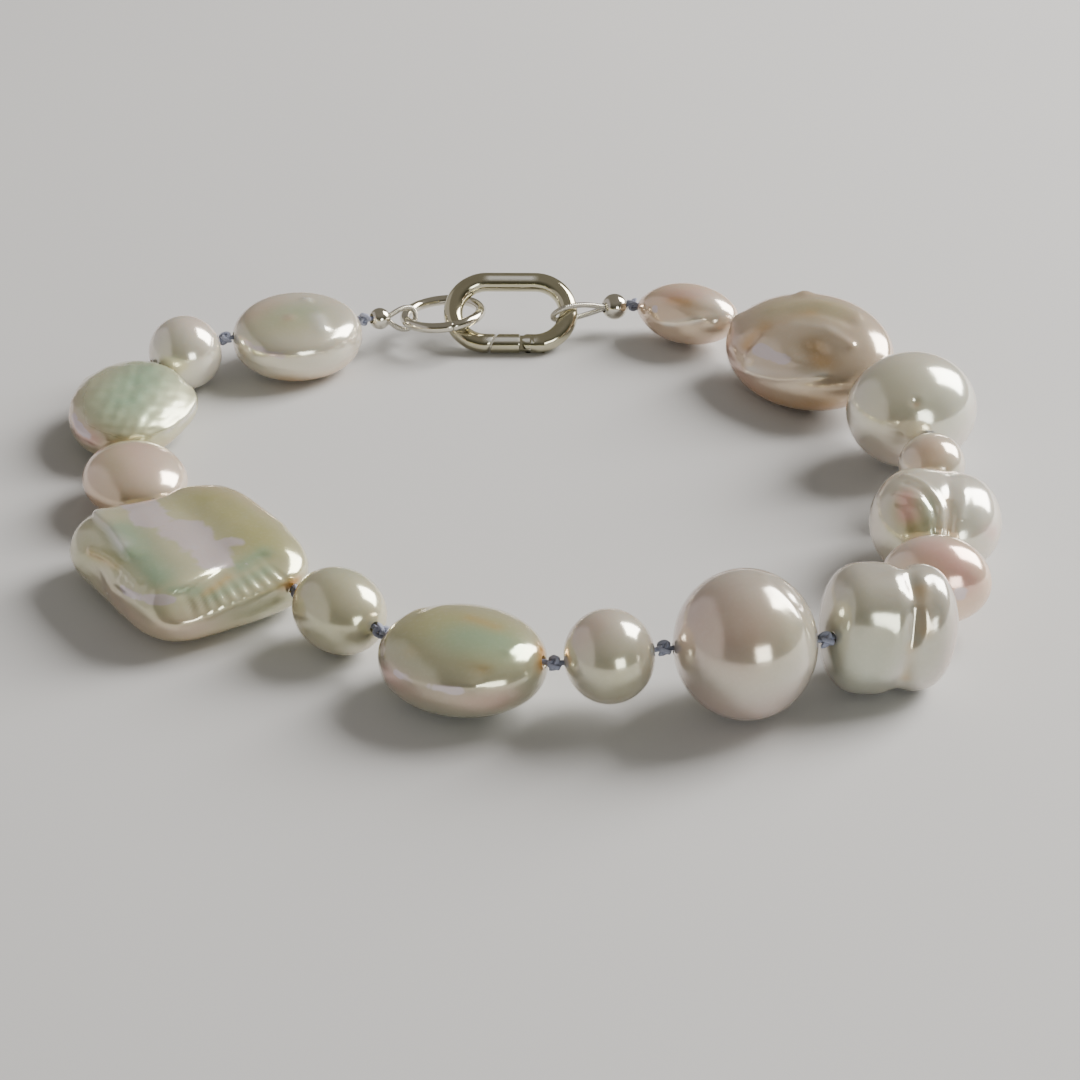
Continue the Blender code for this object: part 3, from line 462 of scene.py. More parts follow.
         skins=[ripple(9, 0.007, (0.2, -0.2, 0.95), 0.7), ripple(22, 0.0016)],
         tints=[
             # grey tint: painted shade over the whole pearl
             tint("grey_painted_shade", 3, 0.42, ragged=0),
             tint("olive_tone_shade_and_reflection", 0.6, 0.75, (-0.3, -0.1, 0.95), (0.4, -0.1, 0.9)),
             tint("green", 0.34, 0.75, (0.2, -0.3, 0.95), (0.55, -0.2, 0.8)),
             tint("amber_stain_and_shade", 0.13, 0.35, (0.1, 0.12, 0.97), (0.4, 0.1, 0.92), ragged=1),
             # amber tint: painted shade along the groove
             tint("amber_stain_and_shade", 0.12, 0.4, (-0.3, -0.62, 0.62), (0.5, -0.62, 0.55)),
             tint("amber_stain_and_shade", 0.14, 0.5, (-0.7, 0.4, 0.6), (-0.5, 0.6, 0.7)),
             tint("rose", 0.3, 0.6, (-0.6, -0.8, 0.1), (0.75, -0.72, -0.1)),
             # lavender tint: tint and painted reflection of the pale wall along the rims
             tint("lavender_tint_and_reflection", 0.16, 1, (-0.84, -0.1, 0.5), (-0.74, -0.52, 0.4), ragged=0.5),
             tint("lavender_tint_and_reflection", 0.13, 0.9, (-0.4, -0.84, 0.25), (0.3, -0.88, 0.18), ragged=0.5),
             tint("amber_stain_and_shade", 0.15, 1, (1, 0.05, 0.25), (0.92, 0.2, 0.38))]),
    dict(node="pearl_08_round", slot="nacre_cream", joint=(2.611, -28.237, 4.107), before=3.7, along=6.2,
         across=6.4, high=6.5,
         skins=[ripple(4, 0.004)],
         tints=[
             # grey tint: painted shade over the whole pearl
             tint("grey_painted_shade", 3, 0.22, ragged=0),
             tint("rose", 0.45, 0.3, (-0.2, -0.2, 0.95), (-0.5, -0.3, 0.8)),
             # olive tint: painted reflection of the dark room on the front
             tint("olive_tone_shade_and_reflection", 0.9, 0.38, (0.2, -0.8, -0.1))]),
    dict(node="pearl_09_large_round", slot="nacre_cream", joint=(9.94, -27.826, 5.044), before=5.45,
         along=9.7, across=10, high=10.4,
         folds=[
             ridge(0.09, 0.01, (0.25, 0.05, 0.96), (0.46, -0.26, 0.85), (0.72, -0.42, 0.56)),
             ridge(0.08, -0.01, (0.4, 0.05, 0.9), (0.6, -0.18, 0.76), (0.84, -0.3, 0.42))],
         skins=[ripple(3.2, 0.008), ripple(14, 0.002, (0.5, -0.2, 0.8), 0.5)],
         tints=[
             # grey tint: painted shade over the whole pearl
             tint("grey_painted_shade", 3, 0.42, ragged=0),
             tint("rose", 0.7, 0.4, (-0.6, -0.4, 0.6), (-0.2, -0.7, 0.7)),
             # olive tint: painted reflection of the dark room on the front
             tint("olive_tone_shade_and_reflection", 0.45, 0.28, (0.1, -0.7, 0.45), (0.4, -0.6, 0.5)),
             tint("rose", 0.6, 0.3, (0.2, -0.7, -0.6), (-0.5, -0.6, -0.5))]),
    dict(node="pearl_10_twin", slot="nacre_cream", joint=(20.811, -27.047, 5.223), before=6.281,
         along=9.2, across=7, high=8.8, turn=-33, bore=(0.1, 0.34, 0.06), fine=1.4, wander=0.022,
         lobes=[lobe((-0.36, 0, 0), (0.62, 1, 1), 2.7), lobe((0.45, 0, 0.02), (0.55, 1, 1), 2.2)],
         folds=[
             ridge(0.11, -0.11, (0.17, 1.2, 0), (0.17, 0.9, 0.8), (0.17, 0, 1.2), (0.17, -0.85, 0.85),
                   (0.16, -1.2, 0), (0.14, -0.85, -0.85), (0.16, 0, -1.2)),
             ridge(0.15, 0.026, (-0.02, -0.1, 1.02), (-0.02, -0.66, 0.85), (-0.06, -1, 0.3),
                   (-0.16, -0.92, -0.4)),
             ridge(0.1, 0.02, (0.33, -0.3, 0.95), (0.31, -0.75, 0.7), (0.28, -0.98, 0.1)),
             ridge(0.12, -0.022, (0.48, -0.3, 0.92), (0.46, -0.78, 0.62), (0.42, -1, 0)),
             ridge(0.3, -0.02, (-0.62, -0.2, 0.8), (-0.62, -0.7, 0.2))],
         skins=[ripple(3.5, 0.01)],
         tints=[
             # grey tint: painted shade over the whole pearl
             tint("grey_painted_shade", 3, 0.42, ragged=0),
             # amber tint: painted shade in the crease between the lobes
             tint("amber_stain_and_shade", 0.12, 0.45, (0.3, -0.5, 0.88), (0.36, -0.9, 0.35)),
             tint("amber_stain_and_shade", 0.1, 0.4, (0.16, -0.95, 0.1), (0.18, -0.85, -0.5)),
             # olive tint: painted reflection of the dark room on the front
             tint("olive_tone_shade_and_reflection", 0.35, 0.22, (-0.6, -0.5, 0.5), (-0.2, -0.8, 0.4)),
             tint("green", 0.6, 0.22, (-0.5, -0.8, -0.1), (-0.5, -0.8, -0.4)),
             tint("rose", 0.3, 0.2, (0.85, -0.5, 0.3), (0.8, -0.6, -0.2))]),
    dict(node="pearl_11_pink_oval", slot="nacre_peach", joint=(28.81, -20.371, 4.205), before=3.5,
         along=5.8, across=7.8, high=6.4,
         folds=[ridge(0.3, 0.02, (-0.5, 0.3, 0.85), (-0.75, -0.4, 0.6))],
         skins=[ripple(5, 0.012)],
         tints=[
             tint("rose", 0.45, 0.95, (-0.3, 0.2, 0.9), (-0.8, -0.5, 0.4)),
             tint("pale_tone_and_highlight", 0.45, 0.35, (0.1, 0.3, 0.9), (-0.3, 0.8, 0.5), ragged=0),
             tint("olive_tone_shade_and_reflection", 0.2, 0.5, (0.2, 0.5, 0.8), (0.3, -0.2, 0.9)),
             # lavender tint: painted reflection of the pale wall, low on the side
             tint("lavender_tint_and_reflection", 0.25, 0.7, (-0.9, -0.45, 0.1))]),
    dict(node="pearl_12_swirl", slot="nacre_cream", joint=(30.036, -13.498, 3.694), before=5.012,
         along=8.6, across=9.2, high=7.2, fine=1.5, wander=0.02,
         lobes=[lobe((0, 0.34, 0), (1, 0.68, 1.02)), lobe((0.05, -0.42, 0), (0.86, 0.6, 0.92))],
         folds=[
             ridge(0.09, -0.08, (-1.1, -0.18, -0.3), (-0.95, -0.18, 0.4), (-0.5, -0.17, 0.95),
                   (0, -0.16, 1.1), (0.6, -0.16, 0.9)),
             ridge(0.055, 0.042, (0.1, 0.5, 0.96), (-0.2, 0.22, 1.02), (-0.59, 0, 0.84),
                   (-0.88, -0.06, 0.46), (-0.98, 0, 0.1)),
             ridge(0.045, -0.032, (-0.15, 0.5, 0.95), (-0.38, 0.28, 0.95), (-0.7, 0.09, 0.76),
                   (-0.94, 0.05, 0.4)),
             ridge(0.055, 0.036, (-0.36, 0.66, 0.82), (-0.54, 0.32, 0.86), (-0.8, 0.16, 0.62),
                   (-0.98, 0.18, 0.2)),
             ridge(0.06, -0.026, (-0.52, 0.62, 0.74), (-0.68, 0.36, 0.76), (-0.88, 0.28, 0.5)),
             ridge(0.06, 0.02, (-0.72, -0.34, 0.62), (-0.3, -0.36, 0.86), (0.1, -0.38, 0.9))],
         skins=[ripple(4.5, 0.005)],
         tints=[
             tint("pale_tone_and_highlight", 0.6, 0.4, (-0.6, -0.5, 0.5), (0.1, -0.4, 0.9), ragged=0),
             # olive tint: painted shade in the cavity
             tint("olive_tone_shade_and_reflection", 0.28, 0.75, (-0.87, 0.43, 0.5), (-0.6, 0.55, 0.72)),
             tint("rose", 0.17, 0.95, (-0.45, 0.52, 0.86), (-0.72, 0.5, 0.66)),
             tint("green", 0.14, 0.5, (-0.6, 0.2, 0.8), (-0.9, 0.15, 0.4)),
             # amber tint: painted shade along the groove
             tint("amber_stain_and_shade", 0.1, 0.5, (-0.45, -0.12, 0.85), (-0.85, -0.14, 0.4)),
             tint("rose", 0.16, 0.6, (-0.66, -0.8, 0.3), (-0.56, -0.86, 0.2)),
             tint("green", 0.22, 0.3, (-0.6, -0.5, 0.6), (-0.75, -0.4, 0.4))]),
    dict(node="pearl_13_small_round", slot="nacre_cream", joint=(30.643, -3.492, 3.797), before=3.1,
         along=5, across=5, high=4.6,
         skins=[ripple(4.5, 0.006)],
         tints=[tint("amber_stain_and_shade", 0.7, 0.24, (-0.5, 0, 0.8)), tint("rose", 0.7, 0.4, (-0.4, 0.2, 0.7))]),
    dict(node="pearl_14_large_drop", slot="nacre_cream", joint=(31.307, 2.63, 4.516), before=5.199,
         along=9.2, across=10.2, high=9, bore=(0, 0.1, 0),
         folds=[ridge(0.16, 0.02, (-0.79, 0.26, 0.53)), ridge(0.075, -0.05, (-0.79, 0.26, 0.53))],
         skins=[ripple(3.2, 0.009)],
         tints=[
             tint("pale_tone_and_highlight", 3, 0.3, ragged=0),
             tint("olive_tone_shade_and_reflection", 0.7, 0.38, (-0.2, 0.4, 0.85), (-0.6, 0.5, 0.5)),
             tint("green", 0.5, 0.26, (-0.75, -0.2, 0.5), (-0.5, -0.5, 0.6)),
             # amber tint: painted shade in the dimple
             tint("amber_stain_and_shade", 0.06, 0.5, (-0.79, 0.26, 0.53)),
             tint("rose", 0.5, 0.3, (-0.7, 0.5, -0.3), (-0.7, 0.2, -0.4))]),
    dict(node="pearl_15_baroque_coin", slot="nacre_rose", joint=(28.305, 12.585, 4.496), before=8.357,
         along=15.6, across=10.6, high=6.6, edge=2.2, turn=8, roll=-26, fine=1.5, wander=0.03,
         folds=[
             ridge(0.2, -0.115, (-0.42, 0.3, 0.84), (-0.34, 0.36, 0.84)),
             ridge(0.08, 0.046, (0.36, 0.7, 0.67), (0.26, 0.34, 0.88), (0.01, 0.01, 0.93),
                   (-0.34, -0.11, 0.89), (-0.68, -0.04, 0.74)),
             ridge(0.085, -0.042, (0.46, 0.52, 0.74), (0.32, 0.2, 0.88), (0.16, -0.12, 0.94),
                   (-0.1, -0.32, 0.92), (-0.52, -0.4, 0.8)),
             ridge(0.1, 0.038, (0.56, 0.36, 0.76), (0.38, -0.12, 0.9), (0.01, -0.51, 0.86),
                   (-0.47, -0.6, 0.7)),
             ridge(0.075, 0.034, (0.34, 0.88, 0.4), (-0.1, 0.88, 0.5), (-0.39, 0.76, 0.59),
                   (-0.66, 0.54, 0.62)),
             ridge(0.06, -0.018, (0.1, 0.72, 0.7), (-0.2, 0.7, 0.7), (-0.45, 0.58, 0.73)),
             ridge(0.13, 0.06, (0.83, 0.07, 0.55)), ridge(0.11, 0.07, (0.27, -0.66, 0.74)),
             ridge(0.2, 0.07, (0.6, -0.72, 0.1))],
         skins=[ripple(5, 0.008)],
         tints=[
             # lavender tint: tint and painted reflection of the pale wall
             tint("lavender_tint_and_reflection", 0.19, 1, (-0.08, 0.62, 0.8), (0.16, 0.6, 0.8), ragged=0.9),
             # pale tint: painted highlights along the raised arcs
             tint("pale_tone_and_highlight", 0.075, 0.6, (0.26, 0.86, 0.5), (-0.6, 0.58, 0.6)),
             tint("pale_tone_and_highlight", 0.08, 0.4, (0.01, 0.01, 0.93), (-0.4, -0.11, 0.87)),
             # amber tint: painted shade along the valley arc and in the recess
             tint("amber_stain_and_shade", 0.12, 0.6, (0.42, 0.56, 0.72), (0.3, 0.2, 0.88)),
             tint("amber_stain_and_shade", 0.09, 0.36, (0.3, 0.2, 0.88), (-0.05, -0.28, 0.93)),
             tint("amber_stain_and_shade", 0.18, 0.5, (-0.36, 0.26, 0.86), (-0.52, 0.44, 0.74)),
             # grey tint: painted shade in the recess
             tint("grey_painted_shade", 0.22, 0.7, (-0.36, 0.26, 0.86), (-0.46, 0.46, 0.8)),
             tint("olive_tone_shade_and_reflection", 0.3, 0.45, (-0.2, -0.5, 0.85), (0.4, -0.2, 0.85)),
             # amber tint: painted shade on the underside
             tint("amber_stain_and_shade", 0.36, 0.5, (-0.55, 0.83, -0.1), (0.4, 0.9, -0.2)),
             tint("rose", 0.3, 0.4, (0.7, 0.5, 0.4), (0.3, 0.9, 0.1))]),
    dict(node="pearl_16_peach_oval", slot="nacre_peach", joint=(18.327, 25.922, 3.114), before=5,
         along=8.8, across=5.6, high=5, wander=0.04,
         lobes=[lobe((0.45, 0, 0), (0.62, 0.6, 0.6))],
         folds=[
             ridge(0.15, 0.05, (0.25, 0.9, 0.05), (-0.05, 0.96, 0.12), (-0.49, 0.8, 0.34)),
             ridge(0.14, -0.022, (0.2, 0.74, 0.6), (-0.25, 0.72, 0.66), (-0.7, 0.5, 0.5))],
         skins=[ripple(6, 0.01)],
         tints=[
             # pale tint: painted highlight of the window
             tint("pale_tone_and_highlight", 0.4, 0.45, (-0.6, 0.2, 0.7), (-0.8, 0.4, 0.3), ragged=0),
             tint("rose", 0.3, 0.6, (0.1, 0.5, 0.8), (-0.4, 0.2, 0.9)),
             tint("amber_stain_and_shade", 0.16, 0.5, (0.1, 0.62, 0.72), (-0.2, 0.62, 0.74)),
             # lavender tint: tint and painted reflection of the pale wall
             tint("lavender_tint_and_reflection", 0.14, 0.8, (0.44, 0.78, 0.45), (0.4, 0.8, 0.35), ragged=0.6),
             # pale tint: painted highlight along the ridge
             tint("pale_tone_and_highlight", 0.12, 0.6, (0.1, 0.96, 0.05), (-0.49, 0.82, 0.3))]),
]
stringEnd = (9.468, 31.269, 2.273)   # where the last pearl's stretch ends
pearlMesh = dict(sides=112, rings=84, holeRadius=0.42, throatRadius=0.35, throatDepth=0.14,
                 holeGuess=0.15, holeRounds=12, halvings=28, lobeBlend=14.0)


def turnMatrix(pearl):
    matrix = Matrix.Identity(3)
    for degrees, axis in ((pearl.get("turn", 0.0), "Z"), (pearl.get("roll", 0.0), "X")):
        matrix = matrix @ Matrix.Rotation(math.radians(degrees), 3, axis)
    return np.array(matrix)


# 1 on the surface: the norm of a super-ellipsoid, with the norm of each lobe joined to it by a
# soft minimum, (a^-n + b^-n)^(-1/n)
def formSize(unit, pearl):
    plan, edge, blend = pearl.get("plan", 2.0), pearl.get("edge", 2.0), pearlMesh["lobeBlend"]
    x, y, z = np.moveaxis(np.abs(unit), -1, 0)
    size = ((x ** plan + y ** plan) ** (edge / plan) + z ** edge) ** (1.0 / edge) + 1e-9
    for egg in pearl.get("lobes", []):
        other = np.abs((unit - egg["at"]) / egg["size"]) ** egg["edge"]
        other = other.sum(axis=-1) ** (1.0 / egg["edge"]) + 1e-9
        size = (size ** -blend + other ** -blend) ** (-1.0 / blend)
    return size


reliefWave = dict(wander=0.025, wanderFinest=5.0, ribBend=1.3, ribBendFinest=3.0, unevenFinest=4.0)


# how much the relief lifts each point, as a share of its distance from the bore: bells over
# lines and rings, bells crossed by a cosine for ribs, and sums of waves for the skin
def relief(still, pearl, seed):
    lift = np.zeros(still.shape[:-1])
    wander = np.stack([waves(still, reliefWave["wanderFinest"], seed + shift)
                       for shift in (1, 2, 3)], axis=-1)
    points = still + pearl.get("wander", reliefWave["wander"]) * wander
    for line in pearl.get("folds", []):
        lift += line["height"] * bell(pathGap(points, line["path"]), line["width"])
    for edge in pearl.get("rims", []):
        height = (points * edge["at"]).sum(axis=-1)
        spread = np.linalg.norm(points - height[..., None] * edge["at"], axis=-1)
        lift += np.where(height > 0.0, edge["height"] * bell(spread - edge["radius"], edge["width"]), 0.0)
    for row in pearl.get("ribs", []):
        gap, share = lineGap(points, row["start"], row["end"])
        bend = reliefWave["ribBend"] * waves(points, reliefWave["ribBendFinest"], seed)
        swing = np.cos(2.0 * math.pi * row["count"] * share + bend)
        uneven = (0.6 + 0.5 * waves(still, reliefWave["unevenFinest"], seed + 9)).clip(0.0, 1.2)
        lift += row["height"] * bell(gap, row["width"]) * swing * uneven
    for index, patch in enumerate(pearl.get("skins", [])):
        near = bell(np.linalg.norm(still - patch["at"], axis=-1), patch["reach"])
        lift += patch["height"] * near * waves(still, patch["finest"], seed + 31 * index)
    return lift


# points along rays from the middle of the bore: each ray is halved until it meets the form, then
# the relief moves it, and a seat cuts it off level below
def pearlSurface(pearl, rays, seed):
    half = np.array([pearl["along"], pearl["across"], pearl["high"]]) / 2.0
    bore = np.array(pearl.get("bore", (0.0, 0.0, 0.0)))
    steps = (rays @ turnMatrix(pearl)) / half
    inner = np.zeros(rays.shape[:-1])
    outer = np.full(rays.shape[:-1], 2.0 * half.max())
    for _ in range(pearlMesh["halvings"]):
        middle = 0.5 * (inner + outer)
        beyond = formSize(bore + steps * middle[..., None], pearl) > 1.0
        inner = np.where(beyond, inner, middle)
        outer = np.where(beyond, middle, outer)
    unit = bore + steps * inner[..., None]
    placed = rays * (inner * (1.0 + relief(unit, pearl, seed)))[..., None]
    if "seat" in pearl:
        level = -pearl["seat"] * half[2]
        placed = placed * (level / np.minimum(placed[..., 2], level))[..., None]
    return placed, unit


# rings from the edge of one hole to the edge of the other, then a throat at each end, so that
# the closing row of quads is the wall of the bore
def pearlGrid(pearl, seed):
    fine = pearl.get("fine", 1.0)
    sides, rings = int(pearlMesh["sides"] * fine), int(pearlMesh["rings"] * fine)
    sizes = np.array([pearl["along"], pearl["across"], pearl["high"]])
    stretch = np.sqrt(turnMatrix(pearl) ** 2 @ sizes ** 2)
    around = np.linspace(0.0, 2.0 * math.pi, sides, endpoint=False)

    def surface(polar):
        rays = np.stack([-np.cos(polar) + 0.0 * around, np.sin(polar) * np.cos(around),
                         np.sin(polar) * np.sin(around)], axis=-1) * stretch
        return pearlSurface(pearl, unitVectors(rays), seed)

    hole = pearlMesh["holeRadius"]
    first = last = np.full(sides, pearlMesh["holeGuess"])
    for _ in range(pearlMesh["holeRounds"]):
        first = first * hole / np.linalg.norm(surface(first)[0][:, 1:], axis=-1)
        last = last * hole / np.linalg.norm(surface(math.pi - last)[0][:, 1:], axis=-1)
    share = np.linspace(0.0, 1.0, rings)[:, None]
    grid, unit = surface(first * (1.0 - share) + (math.pi - last) * share)
    throats = []
    for edge, inward in ((grid[0], 1.0), (grid[-1], -1.0)):
        throat = edge.copy()
        throat[:, 1:] *= pearlMesh["throatRadius"] / hole
        throat[:, 0] += inward * pearlMesh["throatDepth"]
        throats.append(throat)
    grid = np.concatenate([throats[0][None], grid, throats[1][None]])
    return grid, np.concatenate([unit[:1], unit, unit[-1:]])


# colour masks from 0 to 1: bells over lines, made ragged by waves
def tintMasks(points, pearl, seed):
    masks = {name: np.zeros(points.shape[:-1]) for name in (*nacreShade, "chalk")}
    for index, patch in enumerate(pearl["tints"]):
        gap = pathGap(points, patch["path"])
        ragged = 1.0 + 0.25 * patch["ragged"] * waves(points, 7.0, seed + 17 * index + 5)
        value = patch["strength"] * bell(gap / ragged.clip(0.4, 1.8), patch["width"])
        masks[patch["mask"]] = np.maximum(masks[patch["mask"]], value)
    return masks


joints = np.array([pearl["joint"] for pearl in pearls] + [stringEnd])
for index, pearl in enumerate(pearls):
    axes = linkAxes(joints[index], joints[index + 1])
    grid, unit = pearlGrid(pearl, 100 + index)
    placed = joints[index] + axes[0] * pearl["before"] + grid @ axes
    placed[..., 2] = np.maximum(placed[..., 2], 0.0)
    makePiece("nacre_" + pearl["node"][6:], [surfacePart(placed, closedRows=True)],
              nacre[pearl["slot"]], [pearl["node"]], sharp=70.0,
              masks=tintMasks(unit, pearl, 500 + index))
    print("pearl", index + 1, "of", len(pearls), grid.shape)


silverConstants = {"Metallic": 1.0, "Specular IOR Level": 0.5}
# the painted highlight lies on this stretch of the clasp's bars
claspBar = dict(middle=-0.0008, reach=0.0024)   # the stretch of both bars along x, in metres


# the last argument puts a painted highlight on the clasp's two bars: the metal is paler and more
# satin along the side where the profile's angle is a quarter turn: (sin a - 0.93) times 14, from 0 to 1
def silverFinish(name, tone, dull, paintedBarHighlight=False):
    finish = Finish(name, silverConstants)
    wear = finish.noise(700.0, 3.0, 0.5)
    stain = finish.noise(260.0, 2.0)
    hair = finish.noise(2600.0, 2.0)
    base = finish.blend((stain * 2.2 - 0.75).clamp() * dull, tone, (0.46, 0.42, 0.30))
    base = finish.blend((wear * 2.0 - 1.1).clamp() * 0.35, base, (0.90, 0.89, 0.85))
    rough = 0.06 + wear * 0.09 + (stain * 2.0 - 0.8).clamp() * 0.05
    if paintedBarHighlight:
        # painted highlight band: paler, more satin and less metallic
        gap = (finish.place.part("X") - claspBar["middle"]).size()
        highlightStretch = ((claspBar["reach"] - gap) * 1500.0).clamp()
        around = finish.alongAround().part("Y") * (2.0 * math.pi)
        highlightBand = ((around.sine() - 0.93) * 14.0).clamp() * highlightStretch
        base = finish.blend(highlightBand, base, (0.95, 0.94, 0.89))
        rough = rough + highlightBand * 0.22
        finish.feed(finish.shader.inputs["Metallic"], 1.0 - highlightBand * 0.36)
    finish.surface(base, rough, finish.bump(hair * 0.4 + wear * 0.6, 0.10, 0.05))
    return finish.material


silver = silverFinish("polished_silver", (0.76, 0.73, 0.64), 0.55)
claspSilver = silverFinish("clasp_silver_painted_highlight", (0.60, 0.57, 0.42), 0.60, paintedBarHighlight=True)
gimpSilver = silverFinish("coiled_silver", (0.60, 0.58, 0.52), 0.30)

clasp = dict(middle=np.array([-0.8136, 28.9187, 2.6004]),
             axes=np.array([[-0.99996, 0.00852, 0.00029], [-0.00671, -0.76601, -0.64279],
                            [-0.00525, -0.64277, 0.76604]]),
             halfLength=4.8, halfWidth=2.8, wire=0.80, sides=32, step=0.16, endSoft=0.06,
             hingeX=-1.8, tip=3.227, slant=math.tan(math.radians(25.0)), slantReach=0.9, gap=0.20,
             sideGap=0.20, slotHalf=0.45, cheekLength=0.85)
tongue = dict(half=0.25, radius=0.65, eye=0.32, soft=0.05, buried=0.45, sides=72)
pin = dict(radius=0.20, shank=0.4, half=0.74, head=0.30, dome=0.07, sides=24)


# rings whose ends are rounded over: rows stay where they are, but their radius follows a quarter
# circle over the given length at each end
def endRound(distance, total, radius, soft):
    inward = np.minimum(distance, total - distance).clip(0.0, soft)
    return radius - soft + np.sqrt(np.maximum(soft ** 2 - (soft - inward) ** 2, 0.0))


# middle line of the clasp's wire, from the root of the fork's slot round both bends to the gate's
# tip; the root lies under the first bend, so a short first stretch doubles back in the fork
def claspPath():
    wide, straight = clasp["halfWidth"], clasp["halfLength"] - clasp["halfWidth"]
    bend = np.linspace(0.0, math.pi, 49)
    root = clasp["hingeX"] - tongue["radius"] - clasp["sideGap"]
    tip = clasp["hingeX"] + clasp["tip"] + 0.5 * clasp["gap"]
    right = np.column_stack([-straight - wide * np.sin(bend), wide * np.cos(bend)])
    line = np.concatenate([[(root, wide)], right, -right, [(tip, wide)]])
    return np.column_stack([line, np.zeros(len(line))])


def onClasp(points):
    return clasp["middle"] + points @ clasp["axes"]


def resample(path, step):
    spans = np.linalg.norm(np.diff(path, axis=0), axis=1)
    length = np.concatenate([[0.0], np.cumsum(spans)])
    places = np.linspace(0.0, length[-1], int(length[-1] / step) + 1)
    return np.stack([np.interp(places, length, path[:, axis]) for axis in range(3)], axis=-1), places


# one cheek of the fork: across it the top is the wire's own arc and the bottom is the slot's flat
# wall; toward the nose its half width shrinks as a circle about the pin
def forkCheek(side):
    wire, hinge = clasp["wire"], clasp["hingeX"]
    x = np.concatenate([np.linspace(hinge - clasp["cheekLength"] - clasp["sideGap"], hinge, 10),
                        hinge + wire * np.sin(np.linspace(0.02, 0.5 * math.pi, 22))])
    chord = math.sqrt(wire ** 2 - clasp["slotHalf"] ** 2)
    nose = np.sqrt(np.maximum(wire ** 2 - (x - hinge).clip(0.0) ** 2, 0.0))
    half = np.minimum(chord - 0.005, nose).clip(0.01)
    y = half[:, None] * np.sin(0.5 * math.pi * np.linspace(-1.0, 1.0, 19))
    top = np.sqrt(wire ** 2 - y ** 2)
    depth = np.concatenate([top, np.full_like(top, clasp["slotHalf"])], axis=1)
    across = np.concatenate([y, y[:, ::-1]], axis=1)
    grid = np.stack([np.broadcast_to(x[:, None], depth.shape), clasp["halfWidth"] + across,
                     side * depth], axis=-1)
    return surfacePart(onClasp(grid))


# the turned pin along the clasp's own Z: radius against height, with a domed head at each end
def hingePin():
    rise = np.linspace(0.0, 0.5 * math.pi, 8)
    end, cap = pin["half"] + pin["dome"] * np.sin(rise), (pin["head"] * np.cos(rise)).clip(0.02)
    heights = np.concatenate([-end[::-1], [-pin["shank"], pin["shank"]], end])[:, None]
    radii = np.concatenate([cap[::-1], [pin["radius"]] * 2, cap])[:, None]
    angle = np.linspace(0.0, 2.0 * math.pi, pin["sides"], endpoint=False)
    return surfacePart(onClasp(np.stack([
        clasp["hingeX"] + radii * np.cos(angle), clasp["halfWidth"] + radii * np.sin(angle),
        heights + 0.0 * angle], axis=-1)))


path, places = resample(claspPath(), clasp["step"])
radius = endRound(places, places[-1], clasp["wire"], clasp["endSoft"])
grid = sweep(path, up, roundProfile(radius, clasp["sides"]))
ends = np.clip(1.0 - (places[-1] - places) / clasp["slantReach"], 0.0, 1.0)
grid[..., 0] += ends[:, None] * clasp["slant"] * (grid[..., 1] - clasp["halfWidth"])
makePiece("clasp_frame_wire",
          [surfacePart(onClasp(grid), lengths=places), forkCheek(1.0), forkCheek(-1.0), hingePin()],
          claspSilver, ["clasp_frame"])
print("clasp frame swept")


# the gate's bar runs from its shoulder to its slanted tip; its tongue is a flat ring round the
# eye whose outline is a half circle behind the pin and runs on into the bar
def gateBar():
    shoulder = clasp["wire"] + clasp["sideGap"]
    length = clasp["tip"] - 0.5 * clasp["gap"] - shoulder
    share = np.concatenate([[0.0, 0.02, 0.05], np.linspace(0.1, 0.9, 9), [0.95, 0.98, 1.0]])
    radius = endRound(share * length, length, clasp["wire"], 0.09)
    path = np.column_stack([clasp["hingeX"] + shoulder + share * length,
                            np.full(len(share), clasp["halfWidth"]), np.zeros(len(share))])
    grid = sweep(path, up, roundProfile(radius, clasp["sides"]))
    grid[..., 0] += clasp["slant"] * share[:, None] * (grid[..., 1] - clasp["halfWidth"])
    return surfacePart(onClasp(grid))


def gateTongue():
    angle = np.linspace(0.0, 2.0 * math.pi, tongue["sides"], endpoint=False)
    half, soft, across = tongue["half"], tongue["soft"], np.cos(angle)
    reach = (clasp["wire"] + tongue["buried"]) / np.maximum(across, 1e-3)
    outer = tongue["radius"] / np.maximum(np.abs(np.sin(angle)), 1e-3)
    outer = np.where(across > 0.0, np.minimum(outer, reach), tongue["radius"])
    rings = []
    for shift, height, out in (
            (0.0, -half + soft, 0.0), (0.0, half - soft, 0.0), (soft, half, 0.0), (-soft, half, 1.0),
            (0.0, half - soft, 1.0), (0.0, -half + soft, 1.0), (-soft, -half, 1.0), (soft, -half, 0.0)):
        radius = (1.0 - out) * tongue["eye"] + out * outer + shift
        rings.append(np.column_stack([clasp["hingeX"] + radius * across,
                                      clasp["halfWidth"] + radius * np.sin(angle),
                                      np.full(len(angle), height)]))
    return surfacePart(onClasp(np.array(rings)), closedRows=True)


makePiece("clasp_gate_bar", [gateBar(), gateTongue()], claspSilver, ["clasp_gate"],
          body="gate")
print("gate made")

